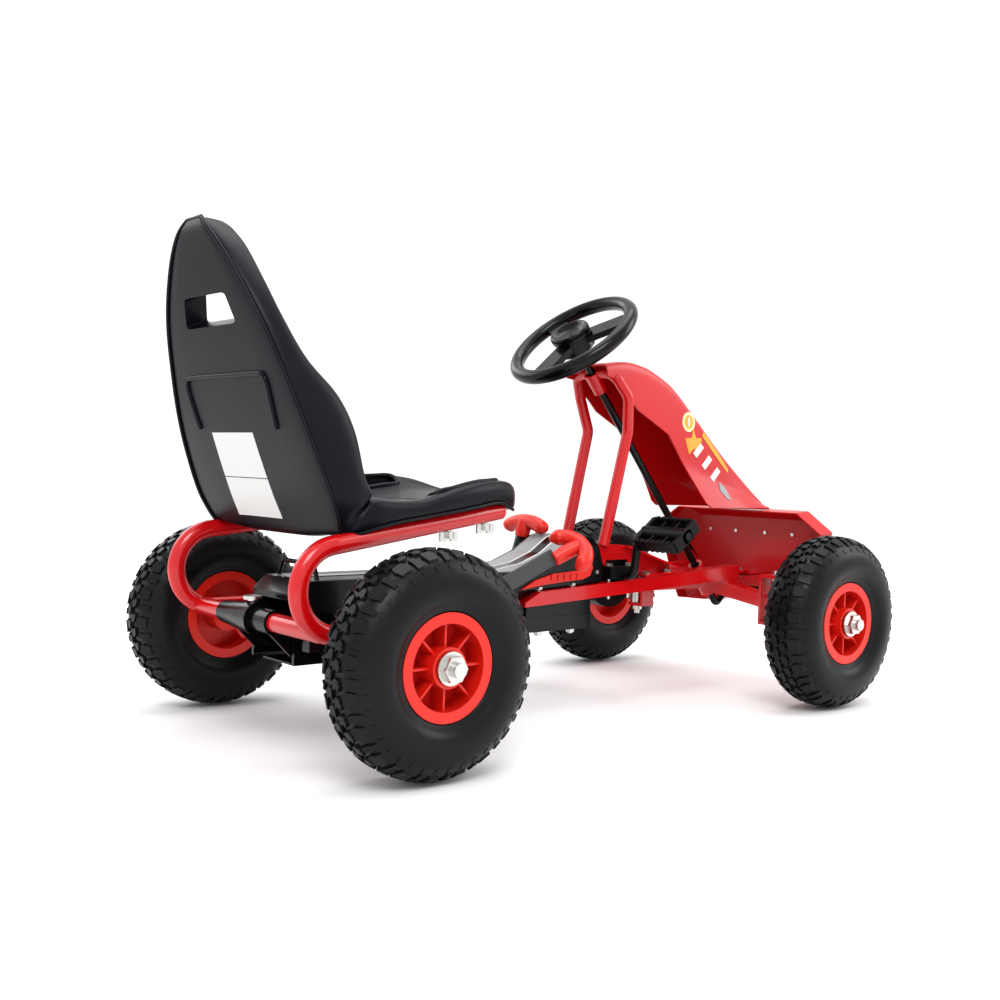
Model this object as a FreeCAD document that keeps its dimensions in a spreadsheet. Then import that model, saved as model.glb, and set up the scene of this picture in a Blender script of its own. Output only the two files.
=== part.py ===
"""Child's pedal go kart: steel frame, bucket seat, chain drive, steered front wheels.

Frame: +X forward, +Y to the driver's left, +Z up; the origin is on the ground,
in the middle of the kart's length and width. Places along the kart are given as
stations, in millimetres ahead of the rear axle; each object's Placement moves
them into the frame.
"""
import FreeCAD, Part

import math
import os
import Sketcher

V = FreeCAD.Vector
Y_AXIS = V(0, 1, 0)
Z_AXIS = V(0, 0, 1)

doc = FreeCAD.newDocument("PedalKart")
sheet = doc.addObject("Spreadsheet::Sheet", "Dims")

DIMENSIONS = [
    ("rear_axle_x", -343.2, "rear axle in the part's frame"),
    ("wheelbase", 728.4, "rear axle to front axle"),
    ("rear_wheel_y", 243.0, "middle plane of the rear wheels"),
    ("front_wheel_y", 238.0, "middle plane of the front wheels"),
    ("wheel_height", 125.0, "height of both axles"),
    ("tyre_radius", 125.0, "outside of the tyres"),
    ("tyre_width", 82.0, "section width of the tyres"),
    ("rim_radius", 58.4, "outside of the rim flanges"),
    ("rim_width", 63.0, "over the two rim flanges"),
    ("barrel_radius", 50.0, "outside of the rim's barrel"),
    ("hub_radius", 22.0, "outside of the rim's hub"),
    ("hub_width", 66.0, "length of the rim's hub"),
    ("hub_bore", 17.5, "radius of the bearing seat in the hub"),
    ("rib_thickness", 2.5, "ribs of the rims"),
    ("axle_radius", 8.0, "rear axle and front stub axles"),
    ("running_gap", 0.05, "radial clearance of turning fits"),
    ("tube_radius", 11.0, "seat rails and cross tube"),
    ("tube_wall", 1.5, "wall of the round tubes"),
    ("hoop_tube_radius", 8.0, "steering hoop tube"),
    ("rail_width", 25.0, "front frame rails"),
    ("rail_height", 20.0, "front frame rails"),
    ("rail_y", 45.0, "front rails from the centre plane"),
    ("cross_tube_x", -74.0, "station of the rear cross tube"),
    ("cross_tube_z", 149.0, "height of the rear cross tube"),
    ("rail_bend", 49.5, "bend of the seat rails behind the seat"),
    ("seat_rail_y", 147.0, "seat rails at their bend"),
    ("column_radius", 5.5, "steering column rod"),
    ("bush_radius", 8.0, "outside of the column bushes"),
    ("column_tilt", 40.3, "steering wheel's plane from the horizontal"),
    ("wheel_hub_x", 423.0, "station of the steering wheel's centre"),
    ("wheel_hub_z", 520.0, "height of the steering wheel's centre"),
    ("hand_ring", 90.5, "centre line of the steering wheel's ring"),
    ("hand_ring_thick", 10.2, "section radius of the steering wheel's ring"),
    ("column_length", 521.0, "steering wheel's centre to the column's crank"),
    ("column_throw", 36.0, "offset of the column's lower pin"),
    ("kingpin_y", 145.0, "kingpins from the centre plane"),
    ("kingpin_radius", 5.0, "kingpin bolts"),
    ("steering_arm", 50.0, "kingpin to tie rod pivot"),
    ("crank_x", 485.0, "station of the pedal crank's axis"),
    ("crank_z", 183.5, "height of the pedal crank's axis"),
    ("crank_throw", 64.0, "length of each crank arm"),
    ("crank_lean", 8.0, "crank arms ahead of the vertical at rest"),
    ("crank_rod", 6.0, "radius of the bent crank rod"),
    ("pedal_inner", 86.0, "inner end of each pedal"),
    ("pedal_span", 80.0, "pedal length across the kart"),
    ("pedal_chord", 56.0, "pedal length along the foot"),
    ("pedal_depth", 20.0, "pedal height"),
    ("chain_pitch", 9.525, "chain pitch"),
    ("chainring_teeth", 20, "front sprocket"),
    ("sprocket_teeth", 13, "rear sprocket"),
    ("case_half", 50.0, "half width of the chain case"),
    ("case_wall", 2.5, "plastic walls of the chain case"),
    ("cowl_wall", 2.5, "plastic walls of the fairing"),
    ("grip_radius", 11.5, "lever handles"),
    ("bolt_radius", 3.0, "frame bolts"),
]
for row, (alias, value, note) in enumerate(DIMENSIONS, start=1):
    sheet.set(f"A{row}", alias)
    sheet.set(f"B{row}", str(value))
    sheet.setAlias(f"B{row}", alias)
    sheet.set(f"C{row}", note)
doc.recompute()

NODES = []


def dim(alias):
    """Value of a driving dimension."""
    return float(sheet.get(alias))


def keep(obj, label, place=None):
    """Registers a sub-part; its place is given in stations ahead of the rear axle."""
    obj.Label = label
    shift = FreeCAD.Placement(V(dim("rear_axle_x"), 0, 0), FreeCAD.Rotation())
    obj.Placement = shift.multiply(place or FreeCAD.Placement())
    NODES.append(obj)
    return obj


def feature(label, shape):
    """A sub-part whose shape is made with Part's own functions."""
    obj = doc.addObject("Part::Feature", label)
    obj.Shape = shape
    return keep(obj, label, shape.Placement)


def turned(base, direction, spin=0.0):
    """Placement that takes +Z to direction, at base."""
    tilt = FreeCAD.Rotation(Z_AXIS, V(*direction))
    return FreeCAD.Placement(V(*base), tilt.multiply(FreeCAD.Rotation(Z_AXIS, spin)))


# ---------------------------------------------------------------- shape helpers


def rod(start, end, radius):
    """Solid cylinder between two points."""
    a = V(*start)
    b = V(*end)
    return Part.makeCylinder(radius, (b - a).Length, a, b - a)


def ring(start, end, outer, inner):
    """Hollow cylinder between two points."""
    return rod(start, end, outer).cut(rod(start, end, inner))


def cone(start, end, first, last):
    """Solid cone frustum between two points."""
    a = V(*start)
    b = V(*end)
    return Part.makeCone(first, last, (b - a).Length, a, b - a)


def block(x0, x1, y0, y1, z0, z1):
    """Box between six planes."""
    return Part.makeBox(x1 - x0, y1 - y0, z1 - z0, V(x0, y0, z0))


def union(shapes):
    """One solid from overlapping shapes."""
    joined = shapes[0].fuse(shapes[1:]) if len(shapes) > 1 else shapes[0]
    return joined.removeSplitter()


def both_sides(shape):
    """The shape and its mirror image, as separate solids."""
    return Part.makeCompound([shape, mirrored(shape)])


def mirrored(shape):
    """The same shape on the other side of the centre plane."""
    return shape.mirror(V(0, 0, 0), Y_AXIS)


def prism(outline, direction):
    """Solid from a closed outline of points, pushed along direction."""
    points = [V(*p) for p in outline]
    face = Part.Face(Part.makePolygon(points + points[:1]))
    return face.extrude(V(*direction))


def side_prism(profile, y0, y1):
    """Solid from a side view outline of (station, height), between two planes of y."""
    return prism([(x, y0, z) for x, z in profile], (0, y1 - y0, 0))


def bent_path(points, radius):
    """Wire of straight runs joined by tangent arcs."""
    corners = [V(*p) for p in points]
    edges = []
    start = corners[0]
    for before, corner, after in zip(corners, corners[1:], corners[2:]):
        back = (before - corner).normalize()
        ahead = (after - corner).normalize()
        half = back.getAngle(ahead) / 2
        first = corner + back * (radius / math.tan(half))
        last = corner + ahead * (radius / math.tan(half))
        middle = corner + (back + ahead).normalize() * (radius / math.sin(half) - radius)
        edges.append(Part.LineSegment(start, first).toShape())
        edges.append(Part.Arc(first, middle, last).toShape())
        start = last
    edges.append(Part.LineSegment(start, corners[-1]).toShape())
    return Part.Wire(edges)


def along(path, radius):
    """Round bar along a path."""
    edge = path.OrderedEdges[0]
    at = path.OrderedVertexes[0].Point
    tangent = edge.tangentAt(edge.getParameterByLength(0.0))
    circle = Part.Wire(Part.Circle(at, tangent, radius).toShape())
    return path.makePipeShell([circle], True, False)


def bent_rod(points, bend, radius):
    """Round rod along straight runs and bends."""
    return along(bent_path(points, bend), radius)


def bolt(base, direction, length, radius, head=4.0, sides=0):
    """Bolt with a round or hexagonal head; base is under the head."""
    shank = Part.makeCylinder(radius, length)
    if sides:
        corners = [V(radius * 1.9, 0, 0)]
        for i in range(1, sides + 1):
            turn = FreeCAD.Rotation(Z_AXIS, 360.0 * i / sides)
            corners.append(turn.multVec(corners[0]))
        top = Part.Face(Part.makePolygon(corners)).extrude(V(0, 0, -head))
    else:
        top = Part.makeCylinder(radius * 1.9, head, V(0, 0, -head))
    solid = shank.fuse(top)
    solid.Placement = turned(base, direction)
    return solid


# ------------------------------------------------------------- PartDesign helpers


def size(alias, times=1.0, plus=0.0):
    """A number bound to the sheet: its value and its formula."""
    return (dim(alias) * times + plus, f"Dims.{alias} * {times} + ({plus})")


def number(entry):
    """Value of a plain number or of a bound one."""
    return entry[0] if isinstance(entry, tuple) else entry


def new_body(label):
    """Empty PartDesign body."""
    return doc.addObject("PartDesign::Body", label)


def new_sketch(body, name, role):
    """Sketch on one of the body's own origin planes."""
    sketch = body.newObject("Sketcher::SketchObject", name)
    plane = next(f for f in body.Origin.OriginFeatures if f.Role == role)
    sketch.AttachmentSupport = [(plane, "")]
    sketch.MapMode = "FlatFace"
    return sketch


def draw_outline(sketch, points):
    """Closed outline of straight lines; every corner is held by its two distances."""
    values = [(number(x), number(y)) for x, y in points]
    first = sketch.GeometryCount
    for (x0, y0), (x1, y1) in zip(values, values[1:] + values[:1]):
        sketch.addGeometry(Part.LineSegment(V(x0, y0, 0), V(x1, y1, 0)), False)
    count = len(points)
    for i in range(count):
        after = first + (i + 1) % count
        sketch.addConstraint(Sketcher.Constraint("Coincident", first + i, 2, after, 1))
    for i, (x, y) in enumerate(points):
        for kind, entry in (("DistanceX", x), ("DistanceY", y)):
            rule = Sketcher.Constraint(kind, -1, 1, first + i, 1, number(entry))
            index = sketch.addConstraint(rule)
            if isinstance(entry, tuple):
                sketch.setExpression(f"Constraints[{index}]", entry[1])


def draw_circle(sketch, x, y, radius):
    """Circle of bound radius."""
    geo = sketch.addGeometry(Part.Circle(V(x, y, 0), Z_AXIS, number(radius)), False)
    sketch.addConstraint(Sketcher.Constraint("DistanceX", -1, 1, geo, 3, x))
    sketch.addConstraint(Sketcher.Constraint("DistanceY", -1, 1, geo, 3, y))
    index = sketch.addConstraint(Sketcher.Constraint("Radius", geo, number(radius)))
    if isinstance(radius, tuple):
        sketch.setExpression(f"Constraints[{index}]", radius[1])


def revolved(body, name, points):
    """Turns an outline of (radius, height) about the body's Z axis."""
    sketch = new_sketch(body, name + "_profile", "XZ_Plane")
    draw_outline(sketch, points)
    turn = body.newObject("PartDesign::Revolution", name + "_turn")
    turn.Profile = sketch
    turn.ReferenceAxis = (sketch, ["V_Axis"])
    turn.Angle = 360.0
    body.Tip = turn
    doc.recompute()
    return turn


def turned_body(label, points, place):
    """Body of revolution."""
    body = new_body(label)
    revolved(body, label, points)
    return keep(body, label, place)


# ------------------------------------------------------------------ front frame


def rail_z(station):
    """Height of the middle of the front rails, which climb gently forwards."""
    return 160.0 + 0.05 * (station - 340.0)


def column_point(distance, offset=0.0, side=0.0):
    """Point measured down the steering column and forward square to it."""
    tilt = math.radians(dim("column_tilt"))
    x = dim("wheel_hub_x") + distance * math.sin(tilt) + offset * math.cos(tilt)
    z = dim("wheel_hub_z") - distance * math.cos(tilt) + offset * math.sin(tilt)
    return (x, side, z)


def front_frame():
    """Welded front frame: two rails, a deck, the axle beam with its two forks."""
    half_w = dim("rail_width") / 2
    half_h = dim("rail_height") / 2
    y = dim("rail_y")
    x = dim("wheelbase")
    back, front = 296.0, 744.0
    rail = side_prism(
        [
            (back, rail_z(back) - half_h),
            (front, rail_z(front) - half_h),
            (front, rail_z(front) + half_h),
            (back + 28, rail_z(back) + half_h),
            (back, rail_z(back) - half_h + 6),
        ],
        y - half_w,
        y + half_w,
    )
    tip = prism(
        [
            (740, y - half_w, 178.0),
            (766, y - half_w, 178.0),
            (779, y - 5, 178.0),
            (779, y + 5, 178.0),
            (766, y + half_w, 178.0),
            (740, y + half_w, 178.0),
        ],
        (0, 0, 4.5),
    )
    side = rail.fuse(tip)
    for station, radius in ((330, 3.2), (392, 3.2), (465, 3.2), (505, 3.2), (764, 2.2)):
        side = side.cut(rod((station, y, 130), (station, y, 210), radius))
    deck = side_prism(
        [(556, rail_z(556) + 4), (694, rail_z(694) + 4), (694, rail_z(694) + 7),
         (556, rail_z(556) + 7)],
        -y,
        y,
    )
    pin_y = dim("kingpin_y")
    web_y = pin_y - 25
    beam = prism(
        [
            (x - 12.5, -web_y, 133),
            (x - 12.5, 0, 150),
            (x - 12.5, web_y, 133),
            (x - 12.5, web_y, 153),
            (x - 12.5, 0, 174),
            (x - 12.5, -web_y, 153),
        ],
        (25, 0, 0),
    )
    saddle = block(x - 12.5, x + 12.5, y - half_w, y + half_w, 158, 172)
    fork = block(x - 14, x + 14, web_y, web_y + 4, 107, 183)
    for low in (107, 178.5):
        ear = block(x - 14, x + 14, web_y, pin_y, low, low + 4.5)
        fork = fork.fuse([ear, rod((x, pin_y, low), (x, pin_y, low + 4.5), 14)])
    hole = rod((x, pin_y, 90), (x, pin_y, 200), dim("kingpin_radius") + 0.1)
    fork = fork.cut(hole)
    boss = rod(column_point(436), column_point(492), 12.5)
    bore = rod(column_point(420), column_point(505), dim("bush_radius"))
    shapes = [side, mirrored(side), deck, beam, saddle, mirrored(saddle)]
    body = union(shapes + [fork, mirrored(fork), boss]).cut(bore)
    for station in (541, 588):
        hole = rod((station, 46, 140), (station, 46, 210), 3.2)
        body = body.cut(hole).cut(mirrored(hole))
    feature("front_frame", body)


def hoop_path():
    """Middle line of the hoop's tube."""
    foot = (458.0, 39.0, 226.0)
    knee = (499.0, 41.0, 392.0)
    shoulder = (489.0, 49.5, 440.0)
    crown = (469.0, 38.0, 474.0)
    left = [foot, knee, shoulder, crown]
    points = left + [(x, -y, z) for x, y, z in reversed(left)]
    return bent_path(points, 22.0)


def steering_hoop():
    """Inverted U of tube over the column, its legs welded to angle brackets."""
    path = hoop_path()
    wall = dim("tube_wall")
    tube = along(path, dim("hoop_tube_radius"))
    hollow = along(path, dim("hoop_tube_radius") - wall)
    top = [(459, rail_z(459) + 10.2), (466, 205), (508, 205), (528, rail_z(528) + 10.2)]
    plate = side_prism(
        [(450.5, rail_z(450) + 10.2)] + top
        + [(600, rail_z(600) + 10.2), (600, 194), (504, 226), (450.5, 230)],
        34.5,
        38.0,
    )
    sole = side_prism(
        [(528, rail_z(528) + 10.2), (600, rail_z(600) + 10.2), (600, rail_z(600) + 13.2),
         (528, rail_z(528) + 13.2)],
        34.5,
        57.0,
    )
    for station in (541, 588):
        sole = sole.cut(rod((station, 46, 150), (station, 46, 210), 3.2))
    roof = prism([(504, 34.5, 226), (600, 34.5, 194), (600, 57, 194), (504, 47, 226)], (0, 0, -3))
    side = [plate, sole, roof]
    bush_seat = rod(column_point(60), column_point(92), 11.5)
    bore = rod(column_point(50), column_point(100), dim("bush_radius"))
    body = union([tube] + side + [mirrored(s) for s in side]).cut(hollow)
    feature("steering_hoop", union([body, bush_seat]).cut(bore))


def column_bushes():
    """Two plastic bushes that the column turns in."""
    inner = dim("column_radius") + dim("running_gap")
    shapes = []
    for start, end in ((60, 92), (436, 492)):
        shapes.append(ring(column_point(start), column_point(end), dim("bush_radius"), inner))
    feature("column_bushes", Part.makeCompound(shapes))


# -------------------------------------------------------------------- rear frame

RAIL_SLOPE = math.radians(7.6)
RAIL_RUN = 266.0
RAIL_TAPER = 35.0


def rail_bend_centre():
    """Centre of the seat rails' bend, in side view."""
    return (-57.0, 196.5)


def seat_rail_at(station):
    """Middle of the left seat rail's upper run at a station."""
    cx, cz = rail_bend_centre()
    top_x = cx - dim("rail_bend") * math.sin(RAIL_SLOPE)
    top_z = cz + dim("rail_bend") * math.cos(RAIL_SLOPE)
    share = (station - top_x) / (RAIL_RUN * math.cos(RAIL_SLOPE))
    z = top_z + (station - top_x) * math.tan(RAIL_SLOPE)
    return (station, dim("seat_rail_y") - RAIL_TAPER * share, z)


SEAT_BOLTS = (111.0, 174.0)
SEAT_FLOOR = 6.0


def seat_rail_path():
    """Upper run, bend behind the seat, lower run to the axle plate."""
    cx, cz = rail_bend_centre()
    bend = dim("rail_bend")
    y = dim("seat_rail_y")
    top_x = cx - bend * math.sin(RAIL_SLOPE)
    front = V(*seat_rail_at(top_x + RAIL_RUN * math.cos(RAIL_SLOPE)))
    top = V(*seat_rail_at(top_x))
    rear = V(cx - bend, y, cz)
    bottom = V(cx, y, cz - bend)
    edges = [
        Part.LineSegment(front, top).toShape(),
        Part.Arc(top, rear, bottom).toShape(),
        Part.LineSegment(bottom, V(24, y, cz - bend)).toShape(),
    ]
    return Part.Wire(edges)


def seat_rails():
    """Two hollow rails that carry the seat, each with a plate for the rear axle."""
    path = seat_rail_path()
    y = dim("seat_rail_y")
    hub = dim("wheel_height")
    hollow = along(path, dim("tube_radius") - dim("tube_wall"))
    plate = side_prism(
        [(-26, 146), (26, 146), (26, 118), (14, 103), (-14, 103), (-26, 118)], y - 2, y + 2
    )
    plate = plate.fuse(rod((0, y - 7, hub), (0, y + 7, hub), 17))
    body = along(path, dim("tube_radius")).fuse(plate).cut(hollow)
    body = body.cut(rod((0, y - 20, hub), (0, y + 20, hub), 13.0))
    for station in SEAT_BOLTS:
        x, rail_y, z = seat_rail_at(station)
        body = body.cut(rod((x, rail_y, z - 30), (x, rail_y, z + 30), 3.3))
    feature("seat_rail_left", body)
    feature("seat_rail_right", mirrored(body))


def rear_cross_tube():
    """Hollow tube between the seat rails, its ends coped to them."""
    x = dim("cross_tube_x")
    z = dim("cross_tube_z")
    y = dim("seat_rail_y")
    outer = dim("tube_radius")
    tube = ring((x, -y, z), (x, y, z), outer, outer - dim("tube_wall"))
    rail = along(seat_rail_path(), outer)
    feature("rear_cross_tube", tube.cut(rail).cut(mirrored(rail)))


def rear_carrier():
    """Black welded carrier: socket on the cross tube, axle plates, two long beams."""
    x = dim("cross_tube_x")
    z = dim("cross_tube_z")
    hub = dim("wheel_height")
    shapes = [
        cone((x, -6, z), (x, 76.5, z), 20.5, 13.5),
        rod((x, -43, z), (x, -6, z), 14.5),
    ]
    side = [(-80, 136), (-52, 108), (30, 104), (60, 113), (60, 133), (20, 146), (-60, 162),
            (-80, 162)]
    for y, boss in ((-43.0, 17), (39.0, 19)):
        plate = side_prism(side, y, y + 4)
        shapes.append(plate.fuse(rod((0, y, hub), (0, y + 4, hub), boss)))
    for y in (-56.0, 36.0):
        shapes.append(block(44, 420, y, y + 20, 113, 133))
    shapes.append(block(400, 420, -36, 36, 113, 117))
    for side_sign in (-1, 1):
        pad = side_prism(
            [(300, 131), (420, 131), (420, rail_z(420) - 10.2), (300, rail_z(300) - 10.2)],
            side_sign * 46 - 9,
            side_sign * 46 + 9,
        )
        shapes.append(pad)
    shapes.append(block(28, 46, 55, 72, 129, 133))
    shapes.append(block(208, 232, -56, -51, 131, 175))
    body = union(shapes).cut(rod((220, -80, 165), (220, -40, 165), 4.0))
    body = body.cut(rod((x, -60, z), (x, 90, z), dim("tube_radius") + 0.02))
    for y, radius in ((-41.0, 13.0), (41.0, 16.0)):
        body = body.cut(rod((0, y - 8, hub), (0, y + 8, hub), radius))
    for y in (-45.0, 45.0):
        for station in (330, 392):
            body = body.cut(rod((station, y, 100), (station, y, 170), 3.2))
    body = body.cut(rod((36, 63, 120), (36, 63, 140), 2.55))
    feature("rear_carrier", body)


def axle_bearings():
    """Four flanged plastic bushes that the rear axle turns in."""
    hub = dim("wheel_height")
    shaft = dim("axle_radius")
    gap = dim("running_gap")
    shapes = []
    for y, half, outer, inner in ((-147, 7, 13, shaft), (-41, 2, 13, shaft), (41, 2, 16, 12),
                                  (147, 7, 13, shaft)):
        shapes.append(ring((0, y - half, hub), (0, y + half, hub), outer, inner + gap))
    feature("axle_bearings", Part.makeCompound(shapes))


# -------------------------------------------------------------------------- seat

SEAT_SECTIONS = [
    # station and height of the underside at the sides, lean of the section, half width,
    # height of the side bolsters, height of the middle, how far the middle hangs down
    (245.0, 284.0, 4.0, 70.0, 16.0, 13.0, 2.0),
    (238.0, 280.0, 2.0, 94.0, 26.0, 18.0, 5.0),
    (216.0, 282.0, 0.0, 120.0, 34.0, 17.0, 9.0),
    (184.0, 290.0, 0.0, 134.0, 29.0, 9.0, 15.0),
    (140.0, 285.0, 0.0, 144.0, 30.0, 7.0, 16.0),
    (100.0, 279.5, 0.0, 148.0, 27.0, 6.0, 16.0),
    (60.0, 274.0, 0.0, 150.0, 22.0, 6.0, 16.0),
    (20.0, 268.5, 2.0, 153.0, 26.0, 8.0, 15.0),
    (-12.0, 262.0, 10.0, 155.0, 35.0, 11.0, 11.0),
    (-36.0, 255.5, 24.0, 153.0, 45.0, 15.0, 7.0),
    (-54.0, 256.0, 42.0, 150.0, 52.0, 20.0, 2.0),
    (-66.0, 276.0, 62.0, 158.0, 57.0, 22.0, 0.0),
    (-78.0, 302.0, 68.0, 161.0, 54.0, 22.0, 0.0),
    (-97.0, 350.0, 71.0, 156.0, 62.0, 22.0, 0.0),
    (-112.0, 392.0, 72.0, 147.0, 58.0, 22.0, 0.0),
    (-126.0, 436.0, 73.0, 134.0, 38.0, 24.0, 0.0),
    (-141.0, 484.0, 74.0, 116.0, 31.0, 27.0, 0.0),
    (-152.0, 522.0, 76.0, 95.0, 32.0, 29.0, 0.0),
    (-162.0, 562.0, 79.0, 66.0, 34.0, 30.0, 0.0),
    (-167.0, 588.0, 84.0, 40.0, 32.0, 28.0, 0.0),
    (-165.0, 602.5, 94.0, 21.0, 26.0, 20.0, 0.0),
]


def seat_section(x, z, lean, half, rise, middle, hang):
    """Closed cross-section of the seat shell, square to its underside."""
    edge = min(26.0, half * 0.3)
    slope = half * 0.62
    right = [
        (0, -hang),
        (half * 0.45, -hang),
        (half * 0.68, -hang * 0.15),
        (half - 6, 1.5),
        (half, rise * 0.45),
        (half - edge * 0.35, rise),
        (half - edge, rise * 0.93),
        (slope, middle + (rise - middle) * 0.3),
        (slope * 0.6, middle),
        (0, middle),
    ]
    left = [(-y, n) for y, n in right[1:-1]]
    tilt = math.radians(lean)
    points = []
    for y, n in right + left[::-1]:
        points.append(V(x + n * math.sin(tilt), y, z + n * math.cos(tilt)))
    return Part.makePolygon(points + points[:1])


def seat_shell():
    """Bucket seat with side bolsters, a hand slot and a raised rib on the back."""
    wires = [seat_section(*section) for section in SEAT_SECTIONS]
    shell = Part.makeLoft(wires, True, True)
    slot = prism(
        [(-200, -49, 496), (-200, 49, 496), (-200, 60, 458), (-200, -60, 458)], (140, 0, 62)
    )
    shell = shell.cut(slot)
    for station in SEAT_BOLTS:
        x, y, z = seat_rail_at(station)
        top = z + dim("tube_radius") + SEAT_FLOOR
        hole = rod((x, y, z - 40), (x, y, 340), 3.3)
        pocket = rod((x, y, top), (x, y, 340), 7.0)
        for part in (hole, mirrored(hole), pocket, mirrored(pocket)):
            shell = shell.cut(part)
    path = seat_rail_path()
    rail = along(path, dim("tube_radius") + 0.3)
    shell = shell.cut(rail).cut(mirrored(rail))
    feature("seat_shell", shell)


def seat_fasteners():
    """Bolts down through the seat and rails, wing nuts below."""
    bolts = []
    nuts = []
    for station in SEAT_BOLTS:
        x, y, z = seat_rail_at(station)
        low = z - dim("tube_radius") - 1.2
        top = z + dim("tube_radius") + SEAT_FLOOR
        shank = bolt((x, y, top), (0, 0, -1), top - low + 9, dim("bolt_radius"), 4)
        hub = ring((x, y, low - 8), (x, y, low), 6.5, dim("bolt_radius"))
        wings = block(x - 13, x + 13, y - 1.5, y + 1.5, low - 12, low - 1)
        wings = wings.cut(rod((x, y, low - 20), (x, y, low + 2), dim("bolt_radius")))
        nut = hub.fuse(wings)
        bolts += [shank, mirrored(shank)]
        nuts += [nut, mirrored(nut)]
    feature("seat_bolts", Part.makeCompound(bolts))
    feature("seat_wing_nuts", Part.makeCompound(nuts))


# -------------------------------------------------------------------- chain case

CASE_TOP = [(-52, 180), (-36, 195.5), (285, 195.5), (325, 202), (362, 216), (392, 236),
            (410, 240.5), (426, 238), (440, 224), (447.5, 200), (447.5, 176.8)]


CASE_SCREWS = ((300, 186.5), (436, 190), (30, 158))


def chain_case():
    """Upper cover, open below, and a floor that closes it between the beams."""
    half = dim("case_half")
    wall = dim("case_wall")
    hub = dim("wheel_height")
    lower = [(290, 169.2), (290, 134.0), (42, 134.0), (42, 98), (-52, 98)]
    outside = side_prism(CASE_TOP + lower, -half, half)
    inside_top = [(x, z - wall) for x, z in CASE_TOP[1:-2]]
    inside = side_prism(
        [(-52 + wall, 80), (-52 + wall, 178)]
        + inside_top
        + [(447.5 - wall, 199), (447.5 - wall, 80)],
        -half + wall,
        half - wall,
    )
    cover = outside.cut(inside)
    cover = cover.cut(block(436.5, 460, -32, 32, 100, 226))
    cover = cover.cut(block(-60, -45, -45, 45, 90, 172))
    cover = cover.cut(rod((0, -60, hub), (0, 60, hub), 14.5))
    ridge = ring((0, half, hub), (0, half + 1.5, hub), 66, 63)
    inner_ridge = ring((0, half, hub), (0, half + 1.5, hub), 41, 38)
    clip = side_prism(
        [(-49, 101), (39, 101), (39, 137), (60, 137), (60, 190), (-49, 190)], half, half + 2
    )
    raised = ridge.fuse(inner_ridge).common(clip)
    stripe = block(-34, 284, -9, 9, 195.0, 197.0)
    cover = union([cover, raised, mirrored(raised), stripe])
    for x, z in CASE_SCREWS:
        cover = cover.cut(rod((x, -60, z), (x, 60, z), 1.55))
    for station in (330, 392):
        for y in (-dim("rail_y"), dim("rail_y")):
            cover = cover.cut(rod((station, y, 150), (station, y, rail_z(station) + 15), 6.5))
    feature("chain_case_upper", cover)

    floor = [(-46, 96), (60, 96), (396, 128), (396, 130.5), (60, 98.5), (-46, 98.5)]
    pan = side_prism(floor, -32, 32)
    side = side_prism(
        [(62, 98.5), (396, 130.5), (396, 140), (300, 131), (62, 112)], 29.5, 32
    )
    pan = union([pan, side, mirrored(side)])
    feature("chain_case_lower", pan)


def case_trims():
    """Ribbed strips that sweep along the case and curl up round its front end."""
    half = dim("case_half")
    outline = [(292, 171.2), (330, 176), (372, 179.2), (405, 181), (420, 186), (425, 197),
               (421, 208), (412, 212), (405, 207), (409, 201), (406, 195), (395, 193.5),
               (352, 191), (318, 183)]
    strip = side_prism(outline, half + 0.02, half + 3.5)
    for i in range(5):
        x = 345 + 12 * i
        strip = strip.fuse(block(x, x + 4, half + 3.4, half + 5.0, 182, 190))
    feature("case_trims", both_sides(strip))


def case_clip():
    """Bent wire handle over the rear of the case."""
    points = [(-20, 44, 196.2), (-20, 36, 214), (-20, -36, 214), (-20, -44, 196.2)]
    feature("case_handle", bent_rod(points, 8.0, 2.8).cut(block(-40, 0, -60, 60, 180, 196.0)))


# ------------------------------------------------------------------- chain drive


def pitch_radius(teeth):
    """Pitch radius of a sprocket."""
    return dim("chain_pitch") / 2 / math.sin(math.pi / dim(teeth))


def sprocket(teeth, width, bore):
    """Toothed disc about the Y axis through the origin."""
    count = int(dim(teeth))
    radius = pitch_radius(teeth)
    disc = rod((0, -width / 2, 0), (0, width / 2, 0), radius - 2.6)
    shapes = []
    for i in range(count):
        turn = FreeCAD.Rotation(Y_AXIS, 360.0 * (i + 0.5) / count)
        corners = [(radius - 4, -2.4), (radius + 1.4, -1.3), (radius + 1.4, 1.3), (radius - 4, 2.4)]
        tooth = prism([(x, -width / 2, z) for x, z in corners], (0, width, 0))
        tooth.Placement = FreeCAD.Placement(V(0, 0, 0), turn)
        shapes.append(tooth)
    return union([disc] + shapes).cut(rod((0, -9, 0), (0, 9, 0), bore))


def moved(shape, x, y, z):
    """The shape shifted bodily."""
    shape = shape.copy()
    shape.translate(V(x, y, z))
    return shape


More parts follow.
